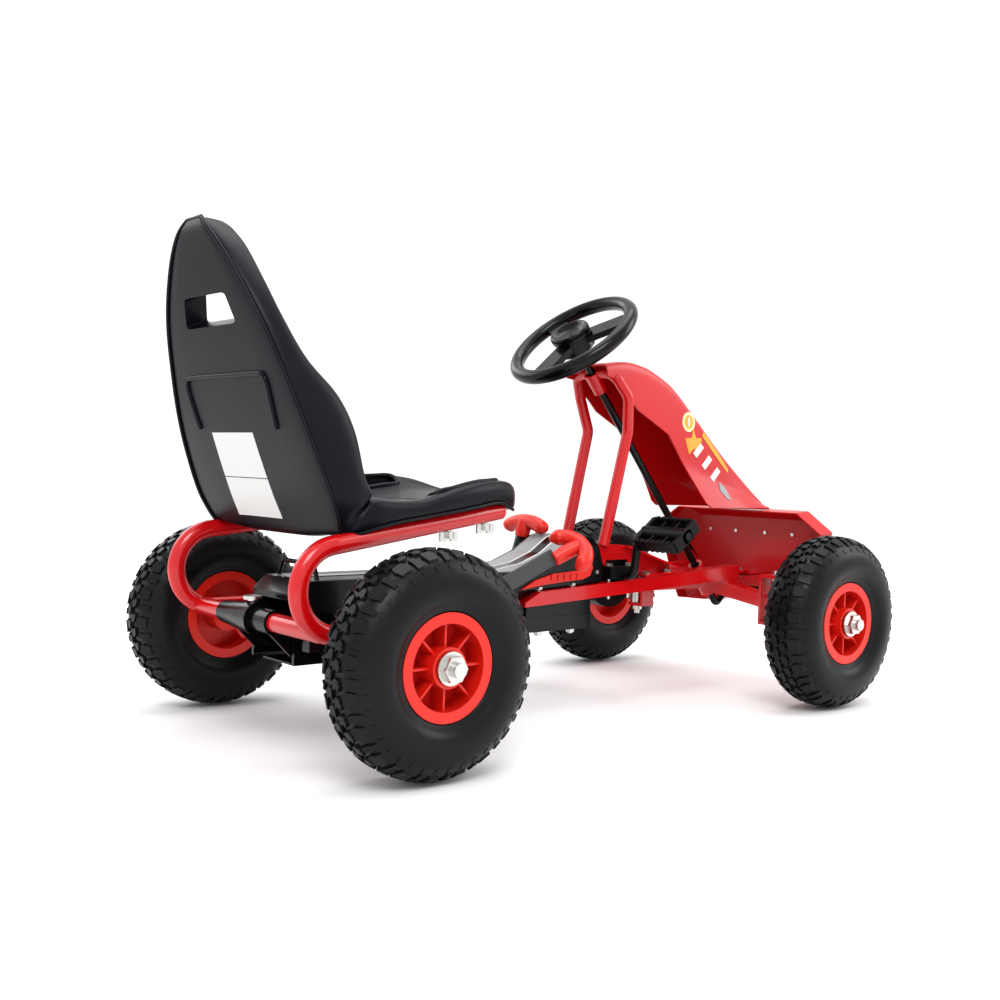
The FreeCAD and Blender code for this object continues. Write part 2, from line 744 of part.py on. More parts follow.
def chain():
    """Closed loop of two rows of side plates, joined by pins along both runs."""
    front = V(dim("crank_x"), 0, dim("crank_z"))
    rear = V(0, 0, dim("wheel_height"))
    big = pitch_radius("chainring_teeth")
    small = pitch_radius("sprocket_teeth")
    reach = (front - rear).Length
    climb = math.atan2(front.z - rear.z, front.x - rear.x)
    spread = math.asin((big - small) / reach)

    def loop(offset):
        up = climb + spread
        down = climb - spread
        upper = V(-math.sin(up), 0, math.cos(up))
        under = V(math.sin(down), 0, -math.cos(down))
        ahead = V(math.cos(climb), 0, math.sin(climb))
        r_front = big + offset
        r_rear = small + offset
        edges = [
            Part.LineSegment(rear + upper * r_rear, front + upper * r_front).toShape(),
            Part.Arc(front + upper * r_front, front + ahead * r_front,
                     front + under * r_front).toShape(),
            Part.LineSegment(front + under * r_front, rear + under * r_rear).toShape(),
            Part.Arc(rear + under * r_rear, rear - ahead * r_rear,
                     rear + upper * r_rear).toShape(),
        ]
        return Part.Face(Part.Wire(edges))

    band = loop(3.6).cut(loop(-3.6))
    rows = []
    for y in (-3.4, 2.2):
        row = band.extrude(V(0, 1.2, 0))
        row.translate(V(0, y, 0))
        rows.append(row)
    pins = []
    for sign, turn in ((1, climb + spread), (-1, climb - spread)):
        normal = V(-math.sin(turn), 0, math.cos(turn)) * sign
        first = rear + normal * small
        last = front + normal * big
        for i in range(5, 46, 2):
            spot = first + (last - first) * (i / 50.0)
            pins.append(rod((spot.x, -3, spot.z), (spot.x, 3, spot.z), 1.8))
    feature("chain", union(rows + pins))


def rear_axle():
    """Steel axle through both rear wheels, with a flat key for the left rim."""
    obj = doc.addObject("Part::Cylinder", "rear_axle")
    obj.setExpression("Radius", "Dims.axle_radius")
    obj.setExpression("Height", "2 * (Dims.rear_wheel_y + 52)")
    half = dim("rear_wheel_y") + 52
    keep(obj, "rear_axle", turned((0, -half, dim("wheel_height")), (0, 1, 0)))


def rear_drive_parts():
    """Sprocket with its sleeve and clutch plate, sliding collar and brake drum."""
    hub = dim("wheel_height")
    snug = dim("axle_radius") + 0.02
    wheel = sprocket("sprocket_teeth", 2.6, snug)
    wheel = moved(wheel, 0, 0, hub)
    sleeve = ring((0, -9, hub), (0, 58, hub), 12.0, snug)
    plate = ring((0, 54, hub), (0, 58, hub), 20, snug)
    feature("rear_sprocket", union([wheel, sleeve, plate]))

    slide = dim("axle_radius") + dim("running_gap")
    groove = ring((0, 64, hub), (0, 70, hub), 25, 13.5)
    feature("clutch_collar", ring((0, 60, hub), (0, 74, hub), 20, slide).cut(groove))

    drum = ring((0, -84, hub), (0, -66, hub), 30, 26)
    web = ring((0, -70, hub), (0, -66, hub), 27, snug)
    boss = ring((0, -84, hub), (0, -66, hub), 13, snug)
    feature("brake_drum", union([drum, web, boss]))


def crank():
    """Bent rod: pedal pins at both ends, two arms, a straight middle."""
    turn = math.radians(dim("crank_lean"))
    reach = dim("crank_throw")
    dx = reach * math.sin(turn)
    dz = reach * math.cos(turn)
    x = dim("crank_x")
    z = dim("crank_z")
    out = dim("pedal_inner") + dim("pedal_span") + 2
    points = [
        (x + dx, -out, z + dz),
        (x + dx, -75, z + dz),
        (x, -75, z),
        (x, 75, z),
        (x - dx, 75, z - dz),
        (x - dx, out, z - dz),
    ]
    path = bent_path(points, 11.0)
    feature("crank", along(path, dim("crank_rod")))


def chainring():
    """Front sprocket, pressed on the crank rod."""
    ring_shape = sprocket("chainring_teeth", 2.6, dim("crank_rod") + 0.02)
    hub = ring((0, -8, 0), (0, 8, 0), 12, dim("crank_rod") + 0.02)
    body = moved(union([ring_shape, hub]), dim("crank_x"), 0, dim("crank_z"))
    feature("chainring", body)


def crank_bearings():
    """Two plastic blocks on the rails that the crank turns in."""
    x = dim("crank_x")
    z = dim("crank_z")
    half_gap = dim("crank_rod") + dim("running_gap")
    body = block(x - 28, x + 28, 39.0, 57.0, rail_z(x) + 11.8, z + 13.5)
    for station in (465, 505):
        body = body.cut(rod((station, 45, 150), (station, 45, 220), 3.2))
    body = body.cut(rod((x, 30, z), (x, 70, z), half_gap))
    feature("crank_bearings", both_sides(body))


def sprocket_guard():
    """Flat drum round the chainring, open at the rear where the chain comes in."""
    x = dim("crank_x")
    z = dim("crank_z")
    drum = rod((x, -30, z), (x, 30, z), 47.5)
    room = rod((x, -27.5, z), (x, 27.5, z), 45.6)
    body = drum.cut(room).cut(block(x - 60, x - 30, -27.5, 27.5, z - 60, z + 60))
    body = body.cut(block(x - 60, x - 2, -6, 6, z - 60, z + 60))
    body = body.cut(rod((x, -40, z), (x, 40, z), dim("crank_rod") + 1.5))
    feature("sprocket_guard", body)


def pedal(name, side):
    """Open cage of plastic turning on the crank's end pin."""
    turn = math.radians(dim("crank_lean"))
    reach = dim("crank_throw")
    x = dim("crank_x") + side * -reach * math.sin(turn)
    z = dim("crank_z") + side * -reach * math.cos(turn)
    inner = dim("pedal_inner")
    span = dim("pedal_span")
    chord = dim("pedal_chord") / 2
    depth = dim("pedal_depth") / 2
    frame = block(-chord, chord, inner, inner + span, -depth, depth)
    frame = frame.cut(block(-chord + 6, chord - 6, inner + 7, inner + span - 7, -40, 40))
    shapes = [frame, rod((0, inner, 0), (0, inner + span, 0), 11)]
    for i in range(1, 4):
        y = inner + span * i / 4
        shapes.append(block(-chord, chord, y - 2, y + 2, -depth + 3, depth - 3))
    body = union(shapes)
    body = body.cut(rod((0, inner - 5, 0), (0, inner + span + 5, 0),
                        dim("crank_rod") + dim("running_gap")))
    if side < 0:
        body = mirrored(body)
    body.rotate(V(0, 0, 0), Y_AXIS, -38.0 if side < 0 else -14.0)
    feature("pedal_" + name, moved(body, x, 0, z))


# ---------------------------------------------------------------------- steering


def steering_column():
    """Rod down to a crank whose pin carries both tie rods; its end is headed over."""
    throw = dim("column_throw")
    length = dim("column_length")
    points = [
        column_point(-6),
        column_point(length),
        column_point(length, throw),
        column_point(length - 24, throw),
    ]
    body = along(bent_path(points, 7.0), dim("column_radius"))
    pin = rod(column_point(length - 2, throw), column_point(length - 26, throw), 4.0)
    upper = rod(column_point(length - 7.2, throw), column_point(length - 30, throw), 9)
    body = body.cut(upper).fuse(pin)
    head = rod(column_point(length - 24, throw), column_point(length - 27, throw), 9)
    feature("steering_column", union([body, head]))


def steering_wheel():
    """Ring, dished hub and three spokes, pressed on the column."""
    ring_obj = doc.addObject("Part::Torus", "steering_ring")
    ring_obj.setExpression("Radius1", "Dims.hand_ring")
    ring_obj.setExpression("Radius2", "Dims.hand_ring_thick")
    hub = doc.addObject("Part::Cylinder", "steering_hub")
    hub.Radius = 27
    hub.Height = 22
    hub.Placement = FreeCAD.Placement(V(0, 0, -16), FreeCAD.Rotation())
    parts = [ring_obj, hub]
    for i, angle in enumerate((60.0, 180.0, 300.0)):
        spoke = doc.addObject("Part::Box", f"steering_spoke_{i + 1}")
        spoke.setExpression("Length", "Dims.hand_ring - 20")
        spoke.Width = 30
        spoke.Height = 9
        turn = FreeCAD.Rotation(Z_AXIS, angle)
        spoke.Placement = FreeCAD.Placement(turn.multVec(V(20, -15, -7)), turn)
        parts.append(spoke)
    whole = doc.addObject("Part::MultiFuse", "steering_wheel_blank")
    whole.Shapes = parts
    bore = doc.addObject("Part::Cylinder", "steering_bore")
    bore.setExpression("Radius", "Dims.column_radius + 0.02")
    bore.Height = 60
    bore.Placement = FreeCAD.Placement(V(0, 0, -30), FreeCAD.Rotation())
    wheel = doc.addObject("Part::Cut", "steering_wheel")
    wheel.Base = whole
    wheel.Tool = bore
    tilt = math.radians(dim("column_tilt"))
    keep(wheel, "steering_wheel", turned(column_point(0), (-math.sin(tilt), 0, math.cos(tilt))))


def steering_cap():
    """Domed cap over the steering wheel's hub."""
    tilt = math.radians(dim("column_tilt"))
    axis = (-math.sin(tilt), 0, math.cos(tilt))
    profile = [(0, 6.2), (24, 6.2), (24, 8), (18, 12), (8, 14), (0, 14)]
    turned_body("steering_wheel_cap", profile, turned(column_point(0), axis))


def tie_pivot(side):
    """Height of a tie rod, set by where its eye sits on the column's pin."""
    length = dim("column_length")
    along_pin = 10.0 if side < 0 else 16.2
    return column_point(length - along_pin, dim("column_throw"))


def knuckle(name, side):
    """Sleeve on the kingpin, arm for the tie rod, stub axle for the wheel."""
    x = dim("wheelbase")
    y = dim("kingpin_y")
    hub = dim("wheel_height")
    arm = dim("steering_arm")
    low = tie_pivot(side)[2] - 3.5
    radius = dim("kingpin_radius") + dim("running_gap")
    sleeve = rod((x, y, 112), (x, y, 178), 11)
    arm_bar = block(x, x + arm, y - 8, y + 8, low - 5, low)
    arm_tip = rod((x + arm, y, low - 5), (x + arm, y, low), 8.6)
    pivot = rod((x + arm, y, low), (x + arm, y, low + 9), 3.5)
    head = rod((x + arm, y, low + 7.4), (x + arm, y, low + 10), 6.5)
    collar = rod((x, y, hub), (x, dim("front_wheel_y") - 35.5, hub), 10.2)
    stub = rod((x, y, hub), (x, dim("front_wheel_y") + 52, hub), dim("axle_radius"))
    body = union([sleeve, arm_bar, arm_tip, pivot, head, collar, stub])
    body = body.cut(rod((x, y, 100), (x, y, 190), radius))
    if side < 0:
        body = mirrored(body)
    feature("knuckle_" + name, body)


def tie_rod(name, side):
    """Straight rod with a loose eye on the column's pin and a close eye outboard."""
    inner = V(*tie_pivot(side))
    outer = V(dim("wheelbase") + dim("steering_arm"), side * dim("kingpin_y"), inner.z)
    tilt = math.radians(dim("column_tilt"))
    axis = V(-math.sin(tilt), 0, math.cos(tilt))
    half = axis * 2.5
    a = inner - half
    b = inner + half
    reach = (outer - inner).normalize()
    bar = rod(tuple(inner + reach * 8.8), tuple(outer - reach * 5), 2.8)
    eye = rod(tuple(a), tuple(b), 10)
    end = rod((outer.x, outer.y, outer.z - 3), (outer.x, outer.y, outer.z + 3), 8.5)
    body = union([bar, eye, end])
    body = body.cut(rod(tuple(inner - axis * 9), tuple(inner + axis * 9), 7.3))
    hole = rod((outer.x, outer.y, outer.z - 9), (outer.x, outer.y, outer.z + 9), 3.55)
    feature("tie_rod_" + name, body.cut(hole))


def kingpin_bolts():
    """Bolts that the knuckles swing on."""
    x = dim("wheelbase")
    y = dim("kingpin_y")
    radius = dim("kingpin_radius")
    pin = bolt((x, y, 183.2), (0, 0, -1), 90, radius, 6.5, 6)
    nut = ring((x, y, 100), (x, y, 106.8), 8.5, radius - 0.5)
    feature("kingpin_bolts", both_sides(pin.fuse(nut)))


# ------------------------------------------------------------------------ wheels


def wheel_place(station, y, side):
    """Wheel axes point outward, away from the kart."""
    return turned((station, side * y, dim("wheel_height")), (0, side, 0))


def tyre(label, place):
    """Tyre carcass with a flat tread, rounded shoulders and beads on the rim."""
    half = ("tyre_width", 0.5)
    top = "tyre_radius"
    points = [
        (size("barrel_radius", 1, 0.02), size("rim_width", 0.5, -3.5)),
        (size("rim_radius", 1, 1.5), size("rim_width", 0.5, -3.5)),
        (size("rim_radius", 1, 1.5), size("rim_width", 0.5, 3.0)),
        (size(top, 1, -52), size(*half, plus=-3.0)),
        (size(top, 1, -38), size(*half)),
        (size(top, 1, -24), size(*half)),
        (size(top, 1, -12), size(*half, plus=-3.0)),
        (size(top, 1, -3.5), size(*half, plus=-11.0)),
        (size(top), size(*half, plus=-19.0)),
    ]
    other = []
    for radius, height in reversed(points):
        other.append((radius, (-height[0], f"-({height[1]})")))
    turned_body(label, points + other, place)


def rim(label, place, bore):
    """Plastic rim: hub, web, barrel with two flanges, eight ribs, a valve hole."""
    body = new_body(label)
    edge = size("rim_width", 0.5)
    inner_edge = size("rim_width", 0.5, -3.0)
    hub_end = size("hub_width", 0.5)

    def down(height):
        return (-height[0], f"-({height[1]})")

    outer = size("rim_radius")
    barrel = size("barrel_radius")
    barrel_in = size("barrel_radius", 1, -3.5)
    hub = size("hub_radius")
    bore_size = size(bore[0], 1, bore[1])
    points = [
        (bore_size, hub_end), (hub, hub_end), (hub, 2.5), (barrel_in, 2.5),
        (barrel_in, edge), (outer, edge), (outer, inner_edge), (barrel, inner_edge),
        (barrel, down(inner_edge)), (outer, down(inner_edge)), (outer, down(edge)),
        (barrel_in, down(edge)), (barrel_in, -2.5), (hub, -2.5), (hub, down(hub_end)),
        (bore_size, down(hub_end)),
    ]
    revolved(body, label, points)
    sketch = new_sketch(body, label + "_rib", "XY_Plane")
    draw_outline(sketch, [
        (size("hub_radius", 1, -1), size("rib_thickness", -0.5)),
        (size("barrel_radius", 1, -2), size("rib_thickness", -0.5)),
        (size("barrel_radius", 1, -2), size("rib_thickness", 0.5)),
        (size("hub_radius", 1, -1), size("rib_thickness", 0.5)),
    ])
    rib = body.newObject("PartDesign::Pad", label + "_rib_pad")
    rib.Profile = sketch
    rib.setExpression("Length", "Dims.rim_width / 2 - 7")
    body.Tip = rib
    doc.recompute()
    pattern = body.newObject("PartDesign::PolarPattern", label + "_ribs")
    pattern.Originals = [rib]
    pattern.Axis = (sketch, ["N_Axis"])
    pattern.Angle = 360.0
    pattern.Occurrences = 8
    body.Tip = pattern
    doc.recompute()
    hole = new_sketch(body, label + "_valve_hole", "XY_Plane")
    draw_circle(hole, 33.0, 13.7, 4.5)
    pocket = body.newObject("PartDesign::Pocket", label + "_valve_pocket")
    pocket.Profile = hole
    pocket.Length = 12.0
    pocket.Midplane = True
    body.Tip = pocket
    doc.recompute()
    return keep(body, label, place)


def wheel_bearings(label, station, y, side):
    """Flanged plastic bushes at both ends of a free turning hub."""
    hub = dim("wheel_height")
    inner = dim("axle_radius") + dim("running_gap")
    outer = dim("hub_bore") - 0.02
    half = dim("hub_width") / 2
    shapes = []
    for sign in (-1, 1):
        a = side * (y + sign * (half + 1.5))
        b = side * (y + sign * (half - 11))
        bush = ring((station, a, hub), (station, b, hub), outer, inner)
        shapes.append(bush)
    feature(label, Part.makeCompound(shapes))


def wheels():
    """Four tyres and rims; only the left rear rim is fixed to its axle."""
    front = dim("wheelbase")
    front_y = dim("front_wheel_y")
    rear_y = dim("rear_wheel_y")
    free = ("hub_bore", 0.0)
    fixed = ("axle_radius", 0.02)
    layout = [
        ("front", "left", front, front_y, 1, free),
        ("front", "right", front, front_y, -1, free),
        ("rear", "left", 0.0, rear_y, 1, fixed),
        ("rear", "right", 0.0, rear_y, -1, free),
    ]
    for end, name, station, y, side, bore in layout:
        place = wheel_place(station, y, side)
        tyre(f"{end}_tyre_{name}", place)
        rim(f"{end}_rim_{name}", place, bore)
        if bore is free:
            wheel_bearings(f"{end}_bearings_{name}", station, y, side)


def axle_nut(station, y, side):
    """Washer and nut at one end of an axle."""
    hub = dim("wheel_height")
    start = y + dim("hub_width") / 2 + 2.0
    radius = dim("axle_radius") + 0.02
    washer = ring((station, side * start, hub), (station, side * (start + 2), hub), 18, radius)
    nut = bolt((0, 0, 0), (0, 0, 1), 1, 7.9, 8.0, 6)
    nut.Placement = turned((station, side * (start + 10), hub), (0, side, 0))
    nut = union([washer, nut.common(rod((station, side * start, hub),
                                        (station, side * (start + 10), hub), 40))])
    return nut.cut(rod((station, side * (start - 2), hub), (station, side * (start + 14), hub),
                       radius))


def axle_nuts():
    """Nuts that hold the four wheels on."""
    front = dim("wheelbase")
    front_y = dim("front_wheel_y")
    rear_y = dim("rear_wheel_y")
    feature("front_nut_left", axle_nut(front, front_y, 1))
    feature("front_nut_right", axle_nut(front, front_y, -1))
    pair = [axle_nut(0.0, rear_y, 1), axle_nut(0.0, rear_y, -1)]
    feature("rear_axle_nuts", Part.makeCompound(pair))


# ------------------------------------------------------------------------ levers


def brake_lever():
    """Flat bent arm with a short lower arm, and a T handle."""
    arm = prism([(213, -70, 158), (222, -70, 173), (236, -70, 190), (250, -70, 180),
                 (232, -70, 160), (227, -70, 138), (213, -70, 138)], (0, -3, 0))
    blade = prism([(236, -70, 189), (250, -70, 171), (314, -97, 211), (300, -97, 229)],
                  (0, -3.5, 0))
    boss = rod((220, -70, 165), (220, -75, 165), 9)
    pin = rod((220, -74, 145), (220, -57, 145), 3.0)
    body = union([arm, blade, boss, pin])
    body = body.cut(rod((220, -50, 165), (220, -90, 165), 4.0 + dim("running_gap")))
    feature("brake_lever", body)
    centre = V(338, -114, 233)
    bar = V(0, -0.84, -0.54)
    handle = rod(tuple(centre - bar * 46), tuple(centre + bar * 46), dim("grip_radius"))
    socket = rod((309, -100.5, 217), tuple(centre), 9.0)
    feature("brake_grip", union([handle, socket]).cut(body))


def gear_lever():
    """Straight arm beside the left rail with a T handle across the kart."""
    arm = prism([(361, 61, 142), (361, 61, 172), (384, 61, 242), (404, 61, 242),
                 (379, 61, 172), (379, 61, 142)], (0, 4, 0))
    pin = rod((370, 64, 150), (370, 94, 150), 3.0)
    body = union([arm, pin])
    body = body.cut(rod((370, 50, 166), (370, 80, 166), 4.0 + dim("running_gap")))
    feature("gear_lever", body)
    handle = rod((395, 12, 256), (395, 110, 256), dim("grip_radius"))
    neck = rod((393, 63, 236), (395, 63, 256), 10.5)
    feature("gear_grip", union([handle, neck]).cut(body))


def control_rods():
    """Rods from the two levers back to the brake shoe and the clutch fork."""
    y = -60.5
    hub = dim("wheel_height")
    eye = ring((220, y - 2.5, 145), (220, y + 2.5, 145), 8.2, 5.0)
    bar = bent_rod([(213, y, 145), (-48, y, 145), (-48, -76, 145)], 7.0, 3.0)
    shoe = block(-52, -18, -83, -68, 118, 149)
    shoe = shoe.cut(rod((7.4, -100, hub), (7.4, -50, hub), 30.6))
    shoe = shoe.cut(rod((0, -100, hub), (0, -50, hub), 38.0))
    feature("brake_rod", union([eye, bar, shoe]))

    y = 86.0
    eye = ring((370, y - 2.5, 150), (370, y + 2.5, 150), 8.2, 5.0)
    bar = rod((363, y, 150), (36, y, 150), 3.0)
    peg = rod((36, y, 139.5), (36, y, 150), 2.5)
    feature("clutch_rod", union([eye, bar, peg]))


def clutch_fork():
    """Bell crank on the carrier: a slotted arm for the rod, a peg in the collar."""
    z = 143.4
    plate = prism([(12, 58, z), (36, 54, z), (45, 63, z), (42, 92, z), (30, 92, z),
                   (27, 69, z), (12, 74, z)], (0, 0, 3))
    peg = rod((16.6, 67, 118), (16.6, 67, z + 1), 2.0)
    boss = rod((36, 63, 134), (36, 63, z + 3), 6.0)
    body = union([plate, peg, boss])
    body = body.cut(rod((36, 63, 120), (36, 63, 160), 2.5 + dim("running_gap")))
    slot = block(33, 39, 84, 88, z - 5, z + 8)
    slot = slot.fuse([rod((36, 84, z - 5), (36, 84, z + 8), 3.0),
                      rod((36, 88, z - 5), (36, 88, z + 8), 3.0)])
    feature("clutch_fork", body.cut(slot))
    pin = rod((36, 63, 127), (36, 63, 151), 2.5)
    pin = pin.fuse(rod((36, 63, 148), (36, 63, 151), 5.5))
    return pin


def lever_pivots(fork_pin):
    """Shouldered bolts for the two levers and the clutch fork."""
    gear = bolt((370, 70, 166), (0, -1, 0), 20, 4.0, 4, 6)
    gear = gear.cut(block(360, 380, 40, 57.5, 150, 180))
    brake = bolt((220, -77, 165), (0, 1, 0), 26, 4.0, 4, 6)
    feature("lever_pivots", Part.makeCompound([gear, brake, fork_pin]))


# ----------------------------------------------------------------------- fairing

COWL_TOP = [(452, 486), (500, 492), (552, 482), (596, 461), (650, 418), (720, 360), (792, 308),
            (814, 292)]


def cowl_solid(inset):
    """Outside of the hood, or its inside when inset by the wall."""
    wires = []
    for x, top in COWL_TOP:
        if inset and x == COWL_TOP[0][0]:
            x -= 3.0
        if inset and x == COWL_TOP[-1][0]:
            x -= inset
        top -= inset * 1.2
        low = 262.0 if inset else 281.0
        waist = low + (top - low) * 0.42
        shoulder = top - min(13.0, 0.4 * (top - low))
        right = [(34 - inset, top), (43 - inset, shoulder), (47 - inset, waist),
                 (59 - inset, low)]
        pts = [V(x, y, z) for y, z in right] + [V(x, -y, z) for y, z in reversed(right)]
        wires.append(Part.makePolygon(pts + pts[:1]))
    return Part.makeLoft(wires, True, True)


def nose_cowl():
    """Hood over the steering column, open behind and below."""
    wall = dim("cowl_wall")
    body = cowl_solid(0.0).cut(cowl_solid(wall))
    cut = side_prism([(440, 470), (470, 466), (517, 422), (583, 390), (623, 337), (666, 281),
                      (666, 240), (440, 240)], -80, 80)
    body = body.cut(cut)
    for start, end, radius in ((-40, 58, 7.5), (58, 94, 12.2)):
        body = body.cut(rod(column_point(start), column_point(end), radius))
    body = body.cut(along(hoop_path(), dim("hoop_tube_radius") + 0.4))
    feature("nose_cowl", body)


def shield_outline(x, grow):
    """Outline of the shield across the kart at a station."""
    half = [(0, 276 + grow), (122 + grow, 276 + grow), (168 + grow, 245 + grow),
            (150 + grow, 205), (131 + grow, 150), (116 + grow, 120 - grow),
            (60, 122 - grow), (0, 132 - grow)]
    points = [V(x, y, z) for y, z in half]
    points += [V(x, -y, z) for y, z in reversed(half[1:-1])]
    return Part.makePolygon(points + points[:1])


SHIELD_SCREWS = ((30, 239), (84, 239), (135, 258))


def front_shield():
    """Shallow shell across the nose, open at the back, with tabs for the rails."""
    wall = dim("cowl_wall")
    outside = Part.makeLoft(
        [shield_outline(799, 0), shield_outline(826, 3), shield_outline(846, -12)], True, True
    )
    inside = Part.makeLoft(
        [shield_outline(798, -wall), shield_outline(826, 3 - wall),
         shield_outline(846 - wall, -12 - wall)], True, True
    )
    body = outside.cut(inside)
    tab = block(754, 845, 37, 53, 173.0, 176.5)
    rib = block(800, 845, 43, 47, 160, 176)
    tab = tab.fuse(rib).cut(rod((764, 45, 150), (764, 45, 200), 2.2))
    body = union([body, tab, mirrored(tab)])
    for y, z in SHIELD_SCREWS:
        hole = rod((830, y, z), (850, y, z), 1.55)
        body = body.cut(hole).cut(mirrored(hole))
    feature("front_shield", body)


# --------------------------------------------------------------------- fasteners


def frame_bolts():
    """Bolts of the rails, brackets, crank bearings and shield."""
    shapes = []
    radius = dim("bolt_radius")
    y = dim("rail_y")
    for station in (330, 392):
        top = rail_z(station) + 10.1
        one = bolt((station, y, top), (0, 0, -1), top - 106, radius, 3.5, 6)
        nut = ring((station, y, 107.5), (station, y, 112.8), 5.5, radius - 0.5)
        shapes.append(one.fuse(nut))
    for station in (465, 505):
        top = dim("crank_z") + 13.6
        shapes.append(bolt((station, y, top), (0, 0, -1), top - 150, radius, 4, 6))
    for station in (541, 588):
        top = rail_z(station) + 13.4
        shapes.append(bolt((station, 46, top), (0, 0, -1), 12, radius, 3.5, 6))
    shapes.append(bolt((764, y, 182.7), (0, 0, -1), 12, 2.0, 3.0, 6))
    solids = []
    for shape in shapes:
        solids += [shape, mirrored(shape)]
    x = dim("cross_tube_x")
    z = dim("cross_tube_z")
    solids.append(bolt((x, 10, z + 22), (0, 0, -1), 2, 6.0, 4))
    feature("frame_bolts", Part.makeCompound(solids))


def panel_screws():
    """Small screws in the chain case and the fairing."""
    shapes = []
    half = dim("case_half")
    for x, z in CASE_SCREWS:
        shapes.append(bolt((x, half + 0.05, z), (0, -1, 0), 2.4, 1.5, 1.5))
    for y, z in SHIELD_SCREWS:
        shapes.append(bolt((843.3, y, z), (1, 0, 0), 2.0, 1.5, 1.5))
    solids = []
    for shape in shapes:
        solids += [shape, mirrored(shape)]
    feature("panel_screws", Part.makeCompound(solids))


def main():
    """Builds every sub-part, checks them and writes one STEP file for each."""
    front_frame()
    steering_hoop()
    column_bushes()
    seat_rails()
    rear_cross_tube()
    rear_carrier()
    axle_bearings()
    seat_shell()
    seat_fasteners()
    chain_case()
    case_trims()
    case_clip()
    chain()
    rear_axle()
    rear_drive_parts()
    crank()
    chainring()
    crank_bearings()
    sprocket_guard()
    pedal("left", 1)
    pedal("right", -1)
    steering_column()
    steering_wheel()
    steering_cap()
    for name, side in (("left", 1), ("right", -1)):
        knuckle(name, side)
        tie_rod(name, side)
    kingpin_bolts()
    wheels()
    axle_nuts()
    brake_lever()
    gear_lever()
    control_rods()
    lever_pivots(clutch_fork())
    nose_cowl()
    front_shield()
    frame_bolts()
    panel_screws()
    doc.recompute()
    for obj in doc.Objects:
        if {"Invalid", "Error"} & set(obj.State):
            raise RuntimeError(f"{obj.Label} is in state {obj.State}")
    for obj in NODES:
        if obj.Shape.isNull() or not obj.Shape.isValid():
            raise RuntimeError(f"{obj.Label} has no valid shape")
    os.makedirs("parts", exist_ok=True)
    for obj in NODES:
        obj.Shape.exportStep(f"parts/{obj.Label}.step")
    print(len(NODES), "sub-parts")


main()
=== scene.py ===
"""Looks of the pedal go kart, built round its CAD part and posed as in the photo."""

import math

import bmesh
import bpy
from mathutils import Matrix, Vector


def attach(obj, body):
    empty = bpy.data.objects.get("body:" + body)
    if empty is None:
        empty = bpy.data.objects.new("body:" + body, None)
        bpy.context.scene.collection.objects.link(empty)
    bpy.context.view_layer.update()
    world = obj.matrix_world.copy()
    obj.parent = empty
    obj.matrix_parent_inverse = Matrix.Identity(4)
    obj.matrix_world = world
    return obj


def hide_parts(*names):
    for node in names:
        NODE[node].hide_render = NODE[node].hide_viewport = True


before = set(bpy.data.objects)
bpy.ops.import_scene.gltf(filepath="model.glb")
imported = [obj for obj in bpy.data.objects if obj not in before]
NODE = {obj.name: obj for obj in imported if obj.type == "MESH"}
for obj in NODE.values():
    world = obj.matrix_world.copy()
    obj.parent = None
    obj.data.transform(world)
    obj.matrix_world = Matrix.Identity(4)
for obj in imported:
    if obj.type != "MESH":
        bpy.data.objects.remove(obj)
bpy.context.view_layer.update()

REAR = -0.3432           # rear axle in the row frame; stations run forward from it
FRONT = REAR + 0.7284
AXLE_Z = 0.125
TAU = 2 * math.pi


def mm(x, y, z):
    """Point given in millimetres ahead of the rear axle."""
    return Vector((x / 1000 + REAR, y / 1000, z / 1000))


# ------------------------------------------------------------------- materials


def shade(name, color, rough=0.4, metal=0.0, coat=0.0, grain=(900.0, 0.05),
          mottle=0.12, wear=0.15, sheen=0.0, shine=0.5):
    """Surface whose tone, roughness and relief vary a little over the piece."""
    m = bpy.data.materials.new(name)
    m.use_nodes = True
    nt = m.node_tree
    nodes, links = nt.nodes, nt.links
    b = nodes["Principled BSDF"]
    b.inputs["Metallic"].default_value = metal
    b.inputs["Coat Weight"].default_value = coat
    b.inputs["Coat Roughness"].default_value = 0.08
    b.inputs["Sheen Weight"].default_value = sheen
    b.inputs["Specular IOR Level"].default_value = shine
    geo = nodes.new("ShaderNodeNewGeometry")
    coarse = nodes.new("ShaderNodeTexNoise")
    coarse.inputs["Scale"].default_value = 14.0
    coarse.inputs["Detail"].default_value = 6.0
    links.new(geo.outputs["Position"], coarse.inputs["Vector"])
    ramp = nodes.new("ShaderNodeMapRange")
    ramp.inputs["To Min"].default_value = 1 - mottle
    ramp.inputs["To Max"].default_value = 1 + mottle
    links.new(coarse.outputs["Fac"], ramp.inputs["Value"])
    tone = nodes.new("ShaderNodeVectorMath")
    tone.operation = "SCALE"
    tone.inputs[0].default_value = color
    links.new(ramp.outputs["Result"], tone.inputs["Scale"])
    links.new(tone.outputs["Vector"], b.inputs["Base Color"])
    gloss = nodes.new("ShaderNodeMapRange")
    gloss.inputs["To Min"].default_value = rough * (1 - wear)
    gloss.inputs["To Max"].default_value = min(1.0, rough * (1 + wear))
    fine = nodes.new("ShaderNodeTexNoise")
    fine.inputs["Scale"].default_value = grain[0]
    fine.inputs["Detail"].default_value = 3.0
    links.new(geo.outputs["Position"], fine.inputs["Vector"])
    links.new(coarse.outputs["Fac"], gloss.inputs["Value"])
    links.new(gloss.outputs["Result"], b.inputs["Roughness"])
    bump = nodes.new("ShaderNodeBump")
    bump.inputs["Strength"].default_value = grain[1]
    bump.inputs["Distance"].default_value = 0.0004
    links.new(fine.outputs["Fac"], bump.inputs["Height"])
    links.new(bump.outputs["Normal"], b.inputs["Normal"])
    return m


